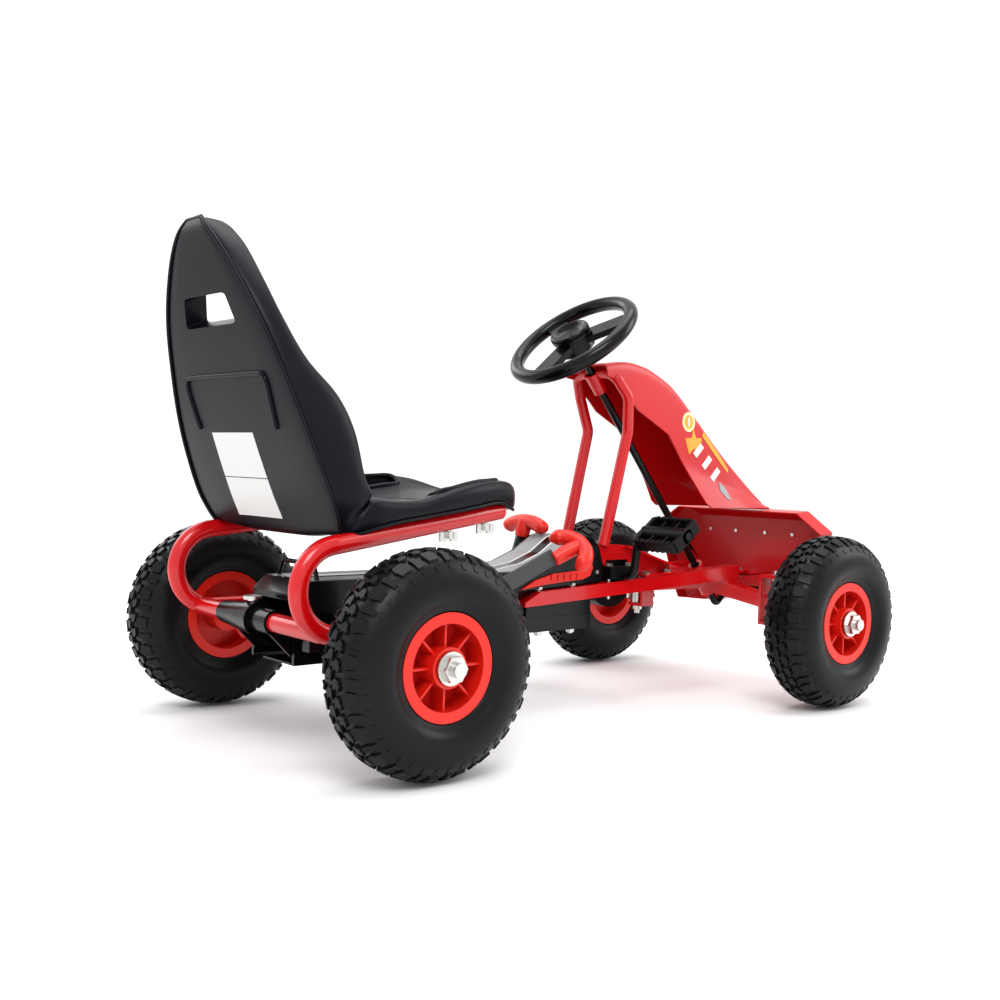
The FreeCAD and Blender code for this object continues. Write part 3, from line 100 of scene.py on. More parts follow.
RED = shade("red_enamel", (0.52, 0.004, 0.007), 0.24, coat=0.35, grain=(260, 0.04), mottle=0.05)
COWL = shade("red_fairing", (0.50, 0.004, 0.007), 0.34, coat=0.12, grain=(180, 0.05), mottle=0.05)
ORANGE = shade("red_plastic", (0.62, 0.020, 0.010), 0.34, grain=(700, 0.05), mottle=0.06)
BLACK = shade("black_paint", (0.004, 0.004, 0.005), 0.22, coat=0.15, grain=(300, 0.05), shine=0.25)
CASE = shade("case_plastic", (0.004, 0.004, 0.005), 0.20, coat=0.18, grain=(260, 0.04), shine=0.25)
SEAT = shade("seat_plastic", (0.005, 0.006, 0.009), 0.36, grain=(1500, 0.16), mottle=0.08,
             shine=0.2)
MATT = shade("matt_plastic", (0.004, 0.004, 0.005), 0.36, grain=(900, 0.12), shine=0.25)
WHEEL = shade("wheel_plastic", (0.003, 0.003, 0.004), 0.22, coat=0.10, grain=(500, 0.05),
              shine=0.25)
TYRE = shade("tyre_rubber", (0.005, 0.006, 0.007), 0.36, grain=(1100, 0.22), mottle=0.18,
             shine=0.25)
ZINC = shade("zinc", (0.62, 0.62, 0.60), 0.30, metal=1.0, grain=(420, 0.12), mottle=0.10)
CHAIN = shade("chain_steel", (0.23, 0.22, 0.20), 0.42, metal=1.0, grain=(500, 0.2), mottle=0.2)
LEVER = shade("lever_paint", (0.055, 0.058, 0.062), 0.42, grain=(500, 0.10))
SILVER = shade("silver_film", (0.27, 0.28, 0.29), 0.36, grain=(600, 0.03), mottle=0.05)
WHITE = shade("white_film", (0.66, 0.66, 0.65), 0.42, grain=(500, 0.03), mottle=0.03)
INK = shade("black_film", (0.012, 0.012, 0.012), 0.34, grain=(500, 0.03))
AMBER = shade("amber_film", (0.75, 0.33, 0.03), 0.36, grain=(500, 0.03), mottle=0.05)
CREAM = shade("cream_film", (0.78, 0.66, 0.36), 0.36, grain=(500, 0.03), mottle=0.05)

LOOK = {
    RED: "front_frame steering_hoop seat_rail_left seat_rail_right rear_cross_tube",
    BLACK: "rear_carrier steering_column crank case_handle brake_drum tie_rod_left "
           "tie_rod_right clutch_rod brake_rod",
    ZINC: "seat_bolts seat_wing_nuts frame_bolts panel_screws kingpin_bolts lever_pivots "
          "rear_axle rear_axle_nuts front_nut_left front_nut_right knuckle_left "
          "knuckle_right clutch_collar clutch_fork",
    CHAIN: "chain chainring rear_sprocket",
    LEVER: "brake_lever gear_lever",
    SEAT: "seat_shell",
    CASE: "chain_case_upper chain_case_lower",
    MATT: "sprocket_guard pedal_left pedal_right column_bushes axle_bearings crank_bearings "
          "front_bearings_left front_bearings_right rear_bearings_right steering_wheel_cap",
    ORANGE: "case_trims brake_grip gear_grip front_rim_left front_rim_right rear_rim_left "
            "rear_rim_right",
    WHEEL: "steering_wheel",
    COWL: "nose_cowl front_shield",
    TYRE: "front_tyre_left front_tyre_right rear_tyre_left rear_tyre_right",
}
SOFT_EDGE = {
    "front_frame": 0.9, "steering_hoop": 0.6, "rear_carrier": 1.2, "chain_case_upper": 2.2,
    "chain_case_lower": 1.0, "case_trims": 0.9, "crank_bearings": 1.5, "sprocket_guard": 2.0,
    "steering_wheel": 1.6, "steering_wheel_cap": 1.0, "brake_lever": 0.5, "gear_lever": 0.6,
    "kingpin_bolts": 0.5, "frame_bolts": 0.4, "rear_axle_nuts": 0.6, "front_nut_left": 0.6,
    "front_nut_right": 0.6, "knuckle_left": 0.8, "knuckle_right": 0.8, "seat_bolts": 0.5,
    "seat_wing_nuts": 0.6, "front_rim_left": 0.8, "front_rim_right": 0.8,
    "rear_rim_left": 0.8, "rear_rim_right": 0.8, "brake_drum": 0.8, "clutch_fork": 0.4,
}


def soften(obj, width, angle=32.0, segments=3):
    """Rounds the edges of a piece."""
    bevel = obj.modifiers.new("soft_edges", "BEVEL")
    bevel.width = width / 1000
    bevel.segments = segments
    bevel.limit_method = "ANGLE"
    bevel.angle_limit = math.radians(angle)
    bevel.harden_normals = False
    obj.modifiers.new("even_normals", "WEIGHTED_NORMAL")


for material, names in LOOK.items():
    for name in names.split():
        NODE[name].data.materials.clear()
        NODE[name].data.materials.append(material)
for name, width in SOFT_EDGE.items():
    soften(NODE[name], width)


# ---------------------------------------------------------------- mesh helpers


def make(name, verts, faces, material, smooth=True):
    """Mesh object in the row frame."""
    data = bpy.data.meshes.new(name)
    data.from_pydata([tuple(v) for v in verts], [], faces)
    data.validate()
    data.update()
    data.polygons.foreach_set("use_smooth", [smooth] * len(data.polygons))
    obj = bpy.data.objects.new(name, data)
    obj.data.materials.append(material)
    bpy.context.scene.collection.objects.link(obj)
    return obj


def put(obj, body, slot, *replaced):
    """Declares what a piece rides on and hides the CAD nodes it stands for; the slot (its finish)
    is not used.
    """
    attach(obj, body)
    if replaced:
        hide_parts(*replaced)
    return obj


def lofted(name, rings, material, caps=True, closed=True):
    """Skin over rings of equal counts."""
    count = len(rings[0])
    verts = [v for r in rings for v in r]
    faces = []
    last = count if closed else count - 1
    for i in range(len(rings) - 1):
        for j in range(last):
            k = (j + 1) % count
            a, b = i * count, (i + 1) * count
            faces.append((a + j, a + k, b + k, b + j))
    if caps:
        faces.append(tuple(range(count))[::-1])
        base = (len(rings) - 1) * count
        faces.append(tuple(range(base, base + count)))
    return make(name, verts, faces, material)


def smooth_rows(rows, steps):
    """Catmull-Rom interpolation of rows of numbers."""
    out = []
    ends = [rows[0]] + list(rows) + [rows[-1]]
    for i in range(1, len(ends) - 2):
        p0, p1, p2, p3 = ends[i - 1:i + 3]
        for k in range(steps):
            t = k / steps
            row = []
            for a, b, c, d in zip(p0, p1, p2, p3):
                row.append(0.5 * (2 * b + (c - a) * t + (2 * a - 5 * b + 4 * c - d) * t * t
                                  + (3 * b - a - 3 * c + d) * t ** 3))
            out.append(row)
    out.append(list(rows[-1]))
    return out


def join(objs, name):
    """Several meshes as one piece."""
    bpy.ops.object.select_all(action="DESELECT")
    for o in objs:
        o.select_set(True)
    bpy.context.view_layer.objects.active = objs[0]
    bpy.ops.object.join()
    objs[0].name = name
    return objs[0]


def bake(obj):
    """Applies the piece's modifiers."""
    bpy.ops.object.select_all(action="DESELECT")
    obj.select_set(True)
    bpy.context.view_layer.objects.active = obj
    for m in list(obj.modifiers):
        bpy.ops.object.modifier_apply(modifier=m.name)
    return obj


def fix_normals(obj):
    """Turns all faces outward."""
    bm = bmesh.new()
    bm.from_mesh(obj.data)
    bmesh.ops.recalc_face_normals(bm, faces=bm.faces)
    bm.to_mesh(obj.data)
    bm.free()
    return obj


# ----------------------------------------------------------------------- tyres

PITCH = 40


def tyre_profile():
    """Half section of the carcass from the bead to the crown, as (radius, w)."""
    side = [(58.9, 27.5), (59.6, 31.5), (63.0, 33.4), (67.0, 35.2), (72.0, 38.4), (78.0, 40.4),
            (84.0, 41.0), (90.0, 40.6), (96.0, 39.5), (102.0, 37.3), (108.0, 33.6), (113.5, 28.6),
            (117.4, 22.0), (119.6, 14.0), (120.3, 0.0)]
    return [(r, w) for r, w in smooth_rows(side, 4)]


def tread_radius(w):
    """Radius of the carcass under a tread block."""
    a = abs(w)
    rows = tyre_profile()
    for (r0, w0), (r1, w1) in zip(rows[28:], rows[29:]):
        if w1 <= a <= w0:
            return r0 + (r1 - r0) * (w0 - a) / max(1e-6, w0 - w1)
    return 120.3


def tyre_mesh():
    """Carcass with two zigzag centre rows, shoulder lugs and side ribs."""
    half = tyre_profile()
    section = half + [(r, -w) for r, w in reversed(half[:-1])]
    inside = [(56.5, -27.0), (54.0, -15.0), (54.0, 15.0), (56.5, 27.0)]
    section = section + inside
    turns = 128
    verts, faces = [], []
    count = len(section)
    for i in range(turns):
        a = TAU * i / turns
        for r, w in section:
            verts.append((r * math.cos(a), r * math.sin(a), w))
    for i in range(turns):
        n = (i + 1) % turns
        for j in range(count):
            k = (j + 1) % count
            faces.append((i * count + j, n * count + j, n * count + k, i * count + k))

    def lug(outline, height, taper=0.82, split=3):
        """Block standing on the carcass over an outline of (angle, w)."""
        ca = sum(p[0] for p in outline) / len(outline)
        cw = sum(p[1] for p in outline) / len(outline)
        fine = []
        n = len(outline)
        for i in range(n):
            (a0, w0), (a1, w1) = outline[i], outline[(i + 1) % n]
            for k in range(split):
                t = k / split
                fine.append((a0 + (a1 - a0) * t, w0 + (w1 - w0) * t))
        base = len(verts)
        m = len(fine)
        for level, (scale, lift) in enumerate(((1.0, -1.2), (0.96, height - 0.9),
                                                (taper + 0.08, height))):
            for a, w in fine:
                aa = ca + (a - ca) * scale
                ww = cw + (w - cw) * scale
                r = tread_radius(ww)
                lean = max(0.0, (abs(ww) - 24) / 17)
                out_r = r + lift * (1 - 0.62 * lean)
                out_w = ww + math.copysign(lift * 0.55 * lean, ww)
                verts.append((out_r * math.cos(aa), out_r * math.sin(aa), out_w))
        for level in range(2):
            for j in range(m):
                k = (j + 1) % m
                p, q = base + level * m, base + (level + 1) * m
                faces.append((p + j, p + k, q + k, q + j))
        faces.append(tuple(base + 2 * m + j for j in range(m)))

    step = TAU / PITCH
    for i in range(PITCH):
        a = step * i
        for side in (-1, 1):
            s = a + (step / 2 if side > 0 else 0)
            block = [(s - 0.36 * step, side * 1.2), (s + 0.20 * step, side * 1.2),
                     (s + 0.38 * step, side * 5.5), (s + 0.20 * step, side * 10.4),
                     (s - 0.08 * step, side * 12.2), (s - 0.36 * step, side * 10.4),
                     (s - 0.20 * step, side * 5.6)]
            lug(block, 3.4)
            if i % 2 == 0:
                wide = [(s - 0.10 * step, side * 15.4), (s + 0.55 * step, side * 14.2),
                        (s + 0.72 * step, side * 20.0), (s + 0.62 * step, side * 29.5),
                        (s - 0.06 * step, side * 29.5), (s - 0.20 * step, side * 21.0)]
                lug(wide, 3.3)
            else:
                thin = [(s - 0.02 * step, side * 17.0), (s + 0.36 * step, side * 15.6),
                        (s + 0.44 * step, side * 24.0), (s + 0.38 * step, side * 31.5),
                        (s + 0.02 * step, side * 31.5)]
                lug(thin, 3.0)
            rib = [(s + 0.10 * step, side * 33.0), (s + 0.52 * step, side * 33.0),
                   (s + 0.48 * step, side * 36.6), (s + 0.14 * step, side * 36.6)]
            lug(rib, 1.4)
    return verts, faces


TYRE_VERTS, TYRE_FACES = tyre_mesh()


def tyre(name, station, y, side, body, node):
    """Tyre turned so its axis lies across the kart."""
    verts = []
    for x, z, w in TYRE_VERTS:
        verts.append((station + side * x / 1000, (y * side + side * w) / 1000,
                      AXLE_Z + z / 1000))
    obj = make(name, verts, TYRE_FACES, TYRE, smooth=False)
    fix_normals(obj)
    put(obj, body, "tyre", node)
    return obj


for end, side_name, x, y, side, body in (
    ("rear", "left", REAR, 243, 1, "drive_axle"),
    ("rear", "right", REAR, 243, -1, "rear_wheel_r"),
    ("front", "left", FRONT, 238, 1, "front_wheel_l"),
    ("front", "right", FRONT, 238, -1, "front_wheel_r"),
):
    obj = tyre(f"tyre_{end}_{side_name}", x, y, side, body, f"{end}_tyre_{side_name}")
    obj.data.polygons.foreach_set("use_smooth", [True] * len(obj.data.polygons))
    edge = obj.modifiers.new("crisp", "EDGE_SPLIT")
    edge.split_angle = math.radians(38)


# ------------------------------------------------------------------------ seat

SEAT_ROWS = [
    # station and height of the underside, lean, half width, bolster, middle, hang of the middle
    (245.0, 284.0, 4.0, 70.0, 16.0, 13.0, 2.0),
    (238.0, 280.0, 2.0, 94.0, 26.0, 18.0, 5.0),
    (216.0, 282.0, 0.0, 120.0, 34.0, 17.0, 9.0),
    (184.0, 290.0, 0.0, 134.0, 29.0, 9.0, 15.0),
    (140.0, 285.0, 0.0, 144.0, 30.0, 7.0, 16.0),
    (100.0, 279.5, 0.0, 148.0, 27.0, 6.0, 16.0),
    (60.0, 274.0, 0.0, 150.0, 22.0, 6.0, 16.0),
    (20.0, 268.5, 2.0, 153.0, 26.0, 8.0, 15.0),
    (-12.0, 262.0, 10.0, 155.0, 35.0, 11.0, 11.0),
    (-36.0, 255.5, 24.0, 153.0, 45.0, 15.0, 7.0),
    (-54.0, 256.0, 42.0, 150.0, 52.0, 20.0, 2.0),
    (-66.0, 276.0, 62.0, 158.0, 57.0, 22.0, 0.0),
    (-78.0, 302.0, 68.0, 161.0, 54.0, 22.0, 0.0),
    (-97.0, 350.0, 71.0, 156.0, 62.0, 22.0, 0.0),
    (-112.0, 392.0, 72.0, 147.0, 58.0, 22.0, 0.0),
    (-126.0, 436.0, 73.0, 134.0, 38.0, 24.0, 0.0),
    (-141.0, 484.0, 74.0, 116.0, 31.0, 27.0, 0.0),
    (-152.0, 522.0, 76.0, 95.0, 32.0, 29.0, 0.0),
    (-162.0, 562.0, 79.0, 66.0, 34.0, 30.0, 0.0),
    (-167.0, 588.0, 84.0, 40.0, 32.0, 28.0, 0.0),
    (-165.0, 602.5, 94.0, 21.0, 26.0, 20.0, 0.0),
]


def section_point(row, y, n):
    """Point of a seat section from its width and height in the section's plane."""
    tilt = math.radians(row[2])
    return mm(row[0] + n * math.sin(tilt), y, row[1] + n * math.cos(tilt))


def seat_ring(row):
    """Cross-section of the shell with rounded edges."""
    _x, _z, _lean, half, rise, middle, hang = row
    edge = min(26.0, half * 0.3)
    slope = half * 0.62
    right = [
        (0, -hang), (half * 0.3, -hang), (half * 0.48, -hang * 0.92), (half * 0.6, -hang * 0.5),
        (half * 0.7, -hang * 0.1), (half - 7, 1.0), (half - 2.4, 3.5),
        (half - 0.4, rise * 0.25), (half, rise * 0.5), (half - 0.6, rise * 0.8),
        (half - edge * 0.22, rise * 0.96), (half - edge * 0.5, rise),
        (half - edge * 0.8, rise * 0.97), (half - edge * 1.1, rise * 0.88),
        (half - edge * 1.5, rise * 0.72),
        (slope * 0.98, middle + (rise - middle) * 0.34),
        (slope * 0.84, middle + (rise - middle) * 0.12),
        (slope * 0.66, middle + 0.6), (slope * 0.4, middle), (0, middle),
    ]
    left = [(-y, n) for y, n in right[1:-1]]
    return [section_point(row, y, n) for y, n in right + left[::-1]]


def tube(name, points, radius, material, sides=10):
    """Round cord through points, capped at both ends."""
    rings = []
    side = None
    for i, here in enumerate(points):
        axis = points[min(i + 1, len(points) - 1)] - points[max(i - 1, 0)]
        axis.normalize()
        if side is None:
            side = axis.orthogonal().normalized()
        side = (side - axis * side.dot(axis)).normalized()
        other = axis.cross(side)
        r = radius[i] if isinstance(radius, list) else radius
        ring = []
        for k in range(sides):
            a = TAU * k / sides
            ring.append(here + (side * math.cos(a) + other * math.sin(a)) * (r / 1000))
        rings.append(ring)
    return fix_normals(lofted(name, rings, material))


RECESS = smooth_rows([(84, 126), (92, 105), (130, 94), (178, 88), (189, 93), (190, 108),
                      (183, 120), (140, 128), (96, 132), (84, 126)], 3)[:-1]


def carve(obj, tool):
    """Cuts a closed tool out of a piece."""
    fix_normals(tool)
    cut = obj.modifiers.new("cut", "BOOLEAN")
    cut.operation = "DIFFERENCE"
    cut.object = tool
    cut.solver = "EXACT"
    bake(obj)
    bpy.data.objects.remove(tool)


def seat():
    """Moulded bucket with its hand slot and two fixing recesses."""
    rows = smooth_rows(SEAT_ROWS, 5)
    obj = lofted("seat", [seat_ring(r) for r in rows], SEAT)
    fix_normals(obj)
    sub = obj.modifiers.new("smooth", "SUBSURF")
    sub.levels = sub.render_levels = 1
    bake(obj)
    corners = [(-49, 519), (49, 519), (60, 481), (-60, 481)]
    ring = []
    for i, (y, z) in enumerate(corners):
        (py, pz), (ny, nz) = corners[i - 1], corners[(i + 1) % 4]
        for t in range(6):
            u = t / 5
            a = Vector((y, z)).lerp(Vector((py, pz)), 0.12 * (1 - u))
            b = Vector((y, z)).lerp(Vector((ny, nz)), 0.12 * u)
            ring.append(a * (1 - u) + b * u)
    slope = math.tan(math.radians(24.0))
    tunnel = [[mm(x, p.x, p.y + (x + 148) * slope) for p in ring] for x in (-220, -60)]
    carve(obj, lofted("slot_tool", tunnel, SEAT))
    for side in (-1, 1):
        low = [mm(x, side * y, 271.4 + 0.134 * x) for x, y in RECESS]
        high = [mm(x, side * y, 400) for x, y in RECESS]
        carve(obj, lofted("recess_tool", [low, high], SEAT))
    soften(obj, 1.2, 50.0, 2)
    bake(obj)
    put(obj, "frame", "seat_black", "seat_shell")
    return obj


seat()


def back_x(z):
    """Station of the seat back's rear face at a height."""
    rows = smooth_rows(SEAT_ROWS, 5)
    for a, b in zip(rows, rows[1:]):
        if a[1] <= z <= b[1] and a[0] < 0:
            t = (z - a[1]) / max(1e-6, b[1] - a[1])
            return a[0] + (b[0] - a[0]) * t
    return -90.0


def back_patch(name, y0, y1, z0, z1, lift, material, slot, taper=0.0, rows=10, cols=8):
    """Thin panel lying on the rear face of the seat back."""
    outer, inner = [], []
    for i in range(rows + 1):
        z = z0 + (z1 - z0) * i / rows
        squeeze = 1 - taper * i / rows
        x = back_x(z)
        outer.append([mm(x - lift, (y0 + (y1 - y0) * j / cols) * squeeze, z)
                      for j in range(cols + 1)])
        inner.append([mm(x + 2.0, (y0 + (y1 - y0) * j / cols) * squeeze, z)
                      for j in range(cols, -1, -1)])
    rings = [a + b for a, b in zip(outer, inner)]
    obj = lofted(name, rings, material)
    fix_normals(obj)
    soften(obj, 0.5 if lift > 1 else 0.1, 40.0, 2)
    return put(obj, "frame", slot)


back_patch("seat_label", -35, 70, 264, 366, 0.5, WHITE, "seat_black", taper=0.06)
back_patch("seat_label_line", -34, 68, 313.4, 314.4, 0.7, INK, "seat_black", rows=2)


def on_back(y, z, lift=0.0):
    """Point on the rear face of the seat back."""
    return mm(back_x(z) - lift, y, z)


def seat_details():
    """Raised rib, edge beads and the frames round the seat's fixing recesses."""
    arch = [(-91, 370), (-94, 395), (-95, 418), (-91, 426), (-82, 429.5), (0, 430),
            (82, 429.5), (91, 426), (95, 418), (94, 395), (91, 370)]
    points = [on_back(y, z, 0.4) for y, z in smooth_rows(arch, 6)]
    put(tube("seat_rib", points, 3.2, SEAT), "frame", "seat_black")
    rows = smooth_rows(SEAT_ROWS, 5)
    right = [section_point(r, -(r[3] - 3.4), 1.2) for r in rows[8:]]
    left = [section_point(r, r[3] - 3.4, 1.2) for r in rows[8:]]
    put(tube("seat_bead", right + left[::-1], 2.2, SEAT), "frame", "seat_black")
    for side, tag in ((-1, "right"), (1, "left")):
        ring = RECESS + RECESS[:2]
        path = [pan_point(x, side * y, -0.4) for x, y in ring]
        put(tube(f"seat_frame_{tag}", path, 3.4, SEAT), "frame", "seat_black")
    for k in range(9):
        x = 14 + 15 * k
        path = [pan_point(x, y, -0.3) for y in range(-72, 73, 12)]
        put(tube(f"seat_grip_{k}", path, 1.5, SEAT, 8), "frame", "seat_black")


def pan_point(x, y, lift):
    """Point on the upper surface of the pan."""
    rows = smooth_rows(SEAT_ROWS, 5)
    best = min(rows, key=lambda r: abs(r[0] - x) + (200 if r[1] > 300 else 0))
    _x, z, _lean, half, rise, middle, _hang = best
    edge = min(26.0, half * 0.3)
    slope = half * 0.62
    table = [(0, middle), (slope * 0.66, middle + 0.6),
             (slope * 0.84, middle + (rise - middle) * 0.12),
             (slope * 0.98, middle + (rise - middle) * 0.34), (half - edge * 1.5, rise * 0.72),
             (half - edge * 1.1, rise * 0.88), (half - edge * 0.8, rise * 0.97),
             (half - edge * 0.5, rise), (half, rise * 0.9)]
    return mm(x, y, z + between(table, abs(y)) + lift)


def between(table, x):
    """Straight interpolation in a table."""
    for (x0, z0), (x1, z1) in zip(table, table[1:]):
        if x0 <= x <= x1:
            return z0 + (z1 - z0) * (x - x0) / (x1 - x0)
    return table[-1][1] if x > table[-1][0] else table[0][1]


seat_details()


# --------------------------------------------------------------------- fairing

COWL_ROWS = [(452, 486), (476, 490.5), (500, 492), (526, 489), (552, 482), (596, 461),
             (650, 418), (720, 360), (792, 308), (814, 292)]
COWL_LOW = [(440, 470), (470, 466), (517, 422), (583, 390), (623, 337), (666, 281), (830, 281)]


def wall_y(z, top):
    """Half width of the hood at a height."""
    shoulder = top - min(13.0, 0.4 * (top - 281.0))
    waist = 281.0 + (top - 281.0) * 0.42
    if z >= shoulder:
        t = (z - shoulder) / max(1e-6, top - shoulder)
        return 34 + 9.0 * math.sqrt(max(0.0, 1 - t * t))
    if z >= waist:
        return 47 + (43 - 47) * (z - waist) / max(1e-6, shoulder - waist)
    return 59 + (47 - 59) * (z - 281) / max(1e-6, waist - 281)


def hood():
    """Hood over the column: ridge, rounded shoulders and thin walls."""
    rows = smooth_rows(COWL_ROWS, 6)
    rings = []
    for x, top in rows:
        low = min(between(COWL_LOW, x), top - 6)
        right = [(0, top), (12, top), (24, top), (32, top)]
        steps = [0.02, 0.07, 0.15, 0.27, 0.42, 0.6, 0.8, 1.0]
        shoulder = min(13.0, 0.4 * (top - 281.0), top - low)
        for t in steps:
            z = top - shoulder * t
            right.append((wall_y(z, top), z))
        for i in range(1, 13):
            z = top - shoulder + (low - top + shoulder) * i / 12
            right.append((wall_y(z, top), z))
        ring = [mm(x, -y, z) for y, z in reversed(right[1:])] + [mm(x, y, z) for y, z in right]
        rings.append(ring)
    obj = lofted("hood", rings, COWL, caps=False, closed=False)
    fix_normals(obj)
    wall = obj.modifiers.new("wall", "SOLIDIFY")
    wall.thickness = 0.0025
    wall.offset = -1
    wall.use_even_offset = True
    bake(obj)
    fix_normals(obj)
    obj.data.polygons.foreach_set("use_smooth", [True] * len(obj.data.polygons))
    split = obj.modifiers.new("crisp", "EDGE_SPLIT")
    split.split_angle = math.radians(40)
    return put(obj, "frame", "fairing_red", "nose_cowl")


hood()


def decal(name, outline, material, lift=0.35, right=True):
    """Film that follows the hood's side wall inside an outline of (station, height)."""
    sign = -1 if right else 1
    bm = bmesh.new()
    corners = [bm.verts.new((x, 0, z)) for x, z in outline]
    face = bm.faces.new(corners)
    bmesh.ops.triangulate(bm, faces=[face])
    for _ in range(3):
        bmesh.ops.subdivide_edges(bm, edges=bm.edges[:], cuts=1, use_grid_fill=True)
    data = bpy.data.meshes.new(name)
    bm.to_mesh(data)
    bm.free()
    for v in data.vertices:
        x, _y, z = v.co
        top = between(COWL_ROWS, x)
        v.co = mm(x, sign * (wall_y(z, top) + lift), z)
    obj = bpy.data.objects.new(name, data)
    data.materials.append(material)
    bpy.context.scene.collection.objects.link(obj)
    skin = obj.modifiers.new("film", "SOLIDIFY")
    skin.thickness = 0.0004
    skin.offset = 0
    bake(obj)
    fix_normals(obj)
    return put(obj, "frame", "fairing_red")


def disc(cx, cz, r, n=40):
    """Circle in side view."""
    return [(cx + r * math.cos(TAU * i / n), cz + r * math.sin(TAU * i / n)) for i in range(n)]


def star(cx, cz, r, inner, turn):
    """Five-pointed star in side view."""
    pts = []
    for i in range(10):
        a = turn + TAU * i / 10
        k = r if i % 2 == 0 else inner
        pts.append((cx + k * math.cos(a), cz + k * math.sin(a)))
    return pts


for right, tag in ((True, "r"), (False, "l")):
    decal(f"decal_ring_{tag}", disc(628, 411, 15), CREAM, 0.35, right)
    decal(f"decal_disc_{tag}", disc(628, 411, 10.5), AMBER, 0.6, right)
    decal(f"decal_bar_{tag}", [(626.6, 404), (629.6, 404), (629.6, 418), (626.6, 418)], WHITE,
          0.8, right)
    decal(f"decal_star_{tag}", star(640, 380, 21, 9, 0.35), AMBER, 0.35, right)
    for k in range(3):
        x, z = 650 + 20 * k, 366 - 18 * k
        bar = [(x - 12, z - 2), (x + 6, z + 14), (x + 14, z + 7), (x - 4, z - 9)]
        decal(f"decal_band_{k}_{tag}", bar, WHITE, 0.45, right)
    stroke = [(664, 398), (700, 366), (726, 340), (722, 336), (696, 358), (660, 391)]
    decal(f"decal_stroke_{tag}", stroke, AMBER, 0.45, right)
    tail = [(700, 322), (716, 308), (722, 292), (712, 296), (698, 308)]
    decal(f"decal_tail_{tag}", tail, SILVER, 0.45, right)


def shield():
    """Shallow shell across the nose."""
    def ring(x, grow):
        half = [(0, 276 + grow), (60, 276 + grow), (122 + grow, 276 + grow),
                (168 + grow, 245 + grow), (150 + grow, 205), (131 + grow, 150),
                (116 + grow, 120 - grow), (60, 122 - grow), (0, 132 - grow)]
        pts = [mm(x, y, z) for y, z in half]
        return pts + [mm(x, -y, z) for y, z in reversed(half[1:-1])]
    rings = [ring(799, 0), ring(826, 3), ring(846, -12), ring(846, -60)]
    obj = lofted("shield", rings, COWL, caps=False)
    data = obj.data
    bm = bmesh.new()
    bm.from_mesh(data)
    bm.verts.ensure_lookup_table()
    count = len(rings[0])
    bm.faces.new([bm.verts[3 * count + i] for i in range(count)])
    bmesh.ops.recalc_face_normals(bm, faces=bm.faces)
    bm.to_mesh(data)
    bm.free()
    wall = obj.modifiers.new("wall", "SOLIDIFY")
    wall.thickness = 0.0025
    wall.offset = -1
    soft = obj.modifiers.new("soft", "BEVEL")
    soft.width = 0.001
    soft.segments = 3
    soft.limit_method = "ANGLE"
    soft.angle_limit = math.radians(16)
    bake(obj)
    obj.modifiers.new("even_normals", "WEIGHTED_NORMAL")
    tabs = []
    for s in (-1, 1):
        y0, y1 = sorted((s * 37, s * 53))
        ring_a = [mm(754, y0, 173), mm(754, y1, 173), mm(754, y1, 176.5), mm(754, y0, 176.5)]
        ring_b = [mm(842, y0, 173), mm(842, y1, 173), mm(842, y1, 176.5), mm(842, y0, 176.5)]
        tabs.append(fix_normals(lofted("tab", [ring_a, ring_b], COWL)))
    whole = join([obj] + tabs, "shield")
    return put(whole, "frame", "fairing_red", "front_shield")


shield()


# ------------------------------------------------------------------ chain case

CASE_TOP = [(-36, 195.5), (285, 195.5), (325, 202), (362, 216), (392, 236), (410, 240.5)]


def top_film(name, y0, y1, x0, x1, lift, material):
    """Film along the top of the case."""
    rings = []
    for i in range(81):
        x = x0 + (x1 - x0) * i / 80
        z = between(CASE_TOP, x)
        rings.append([mm(x, y0, z + lift), mm(x, y1, z + lift), mm(x, y1, z - 1), mm(x, y0, z - 1)])
    obj = lofted(name, rings, material)
    fix_normals(obj)
    soften(obj, 0.15, 60.0, 1)
    return put(obj, "frame", "case_black")


for s, tag in ((-1, "r"), (1, "l")):
    lo, hi = sorted((s * 12.5, s * 45))
    top_film(f"case_silver_{tag}", lo, hi, -30, 404, 0.5, SILVER)
    lo, hi = sorted((s * 9.3, s * 12.5))
    top_film(f"case_white_{tag}", lo, hi, -30, 404, 0.7, WHITE)


# ---------------------------------------------------------------------- pedals


def box_mesh(x0, x1, y0, y1, z0, z1):
    """Corners and faces of a box."""
    v = [(x, y, z) for x in (x0, x1) for y in (y0, y1) for z in (z0, z1)]
    f = [(0, 1, 3, 2), (4, 6, 7, 5), (0, 4, 5, 1), (2, 3, 7, 6), (0, 2, 6, 4), (1, 5, 7, 3)]
    return v, f


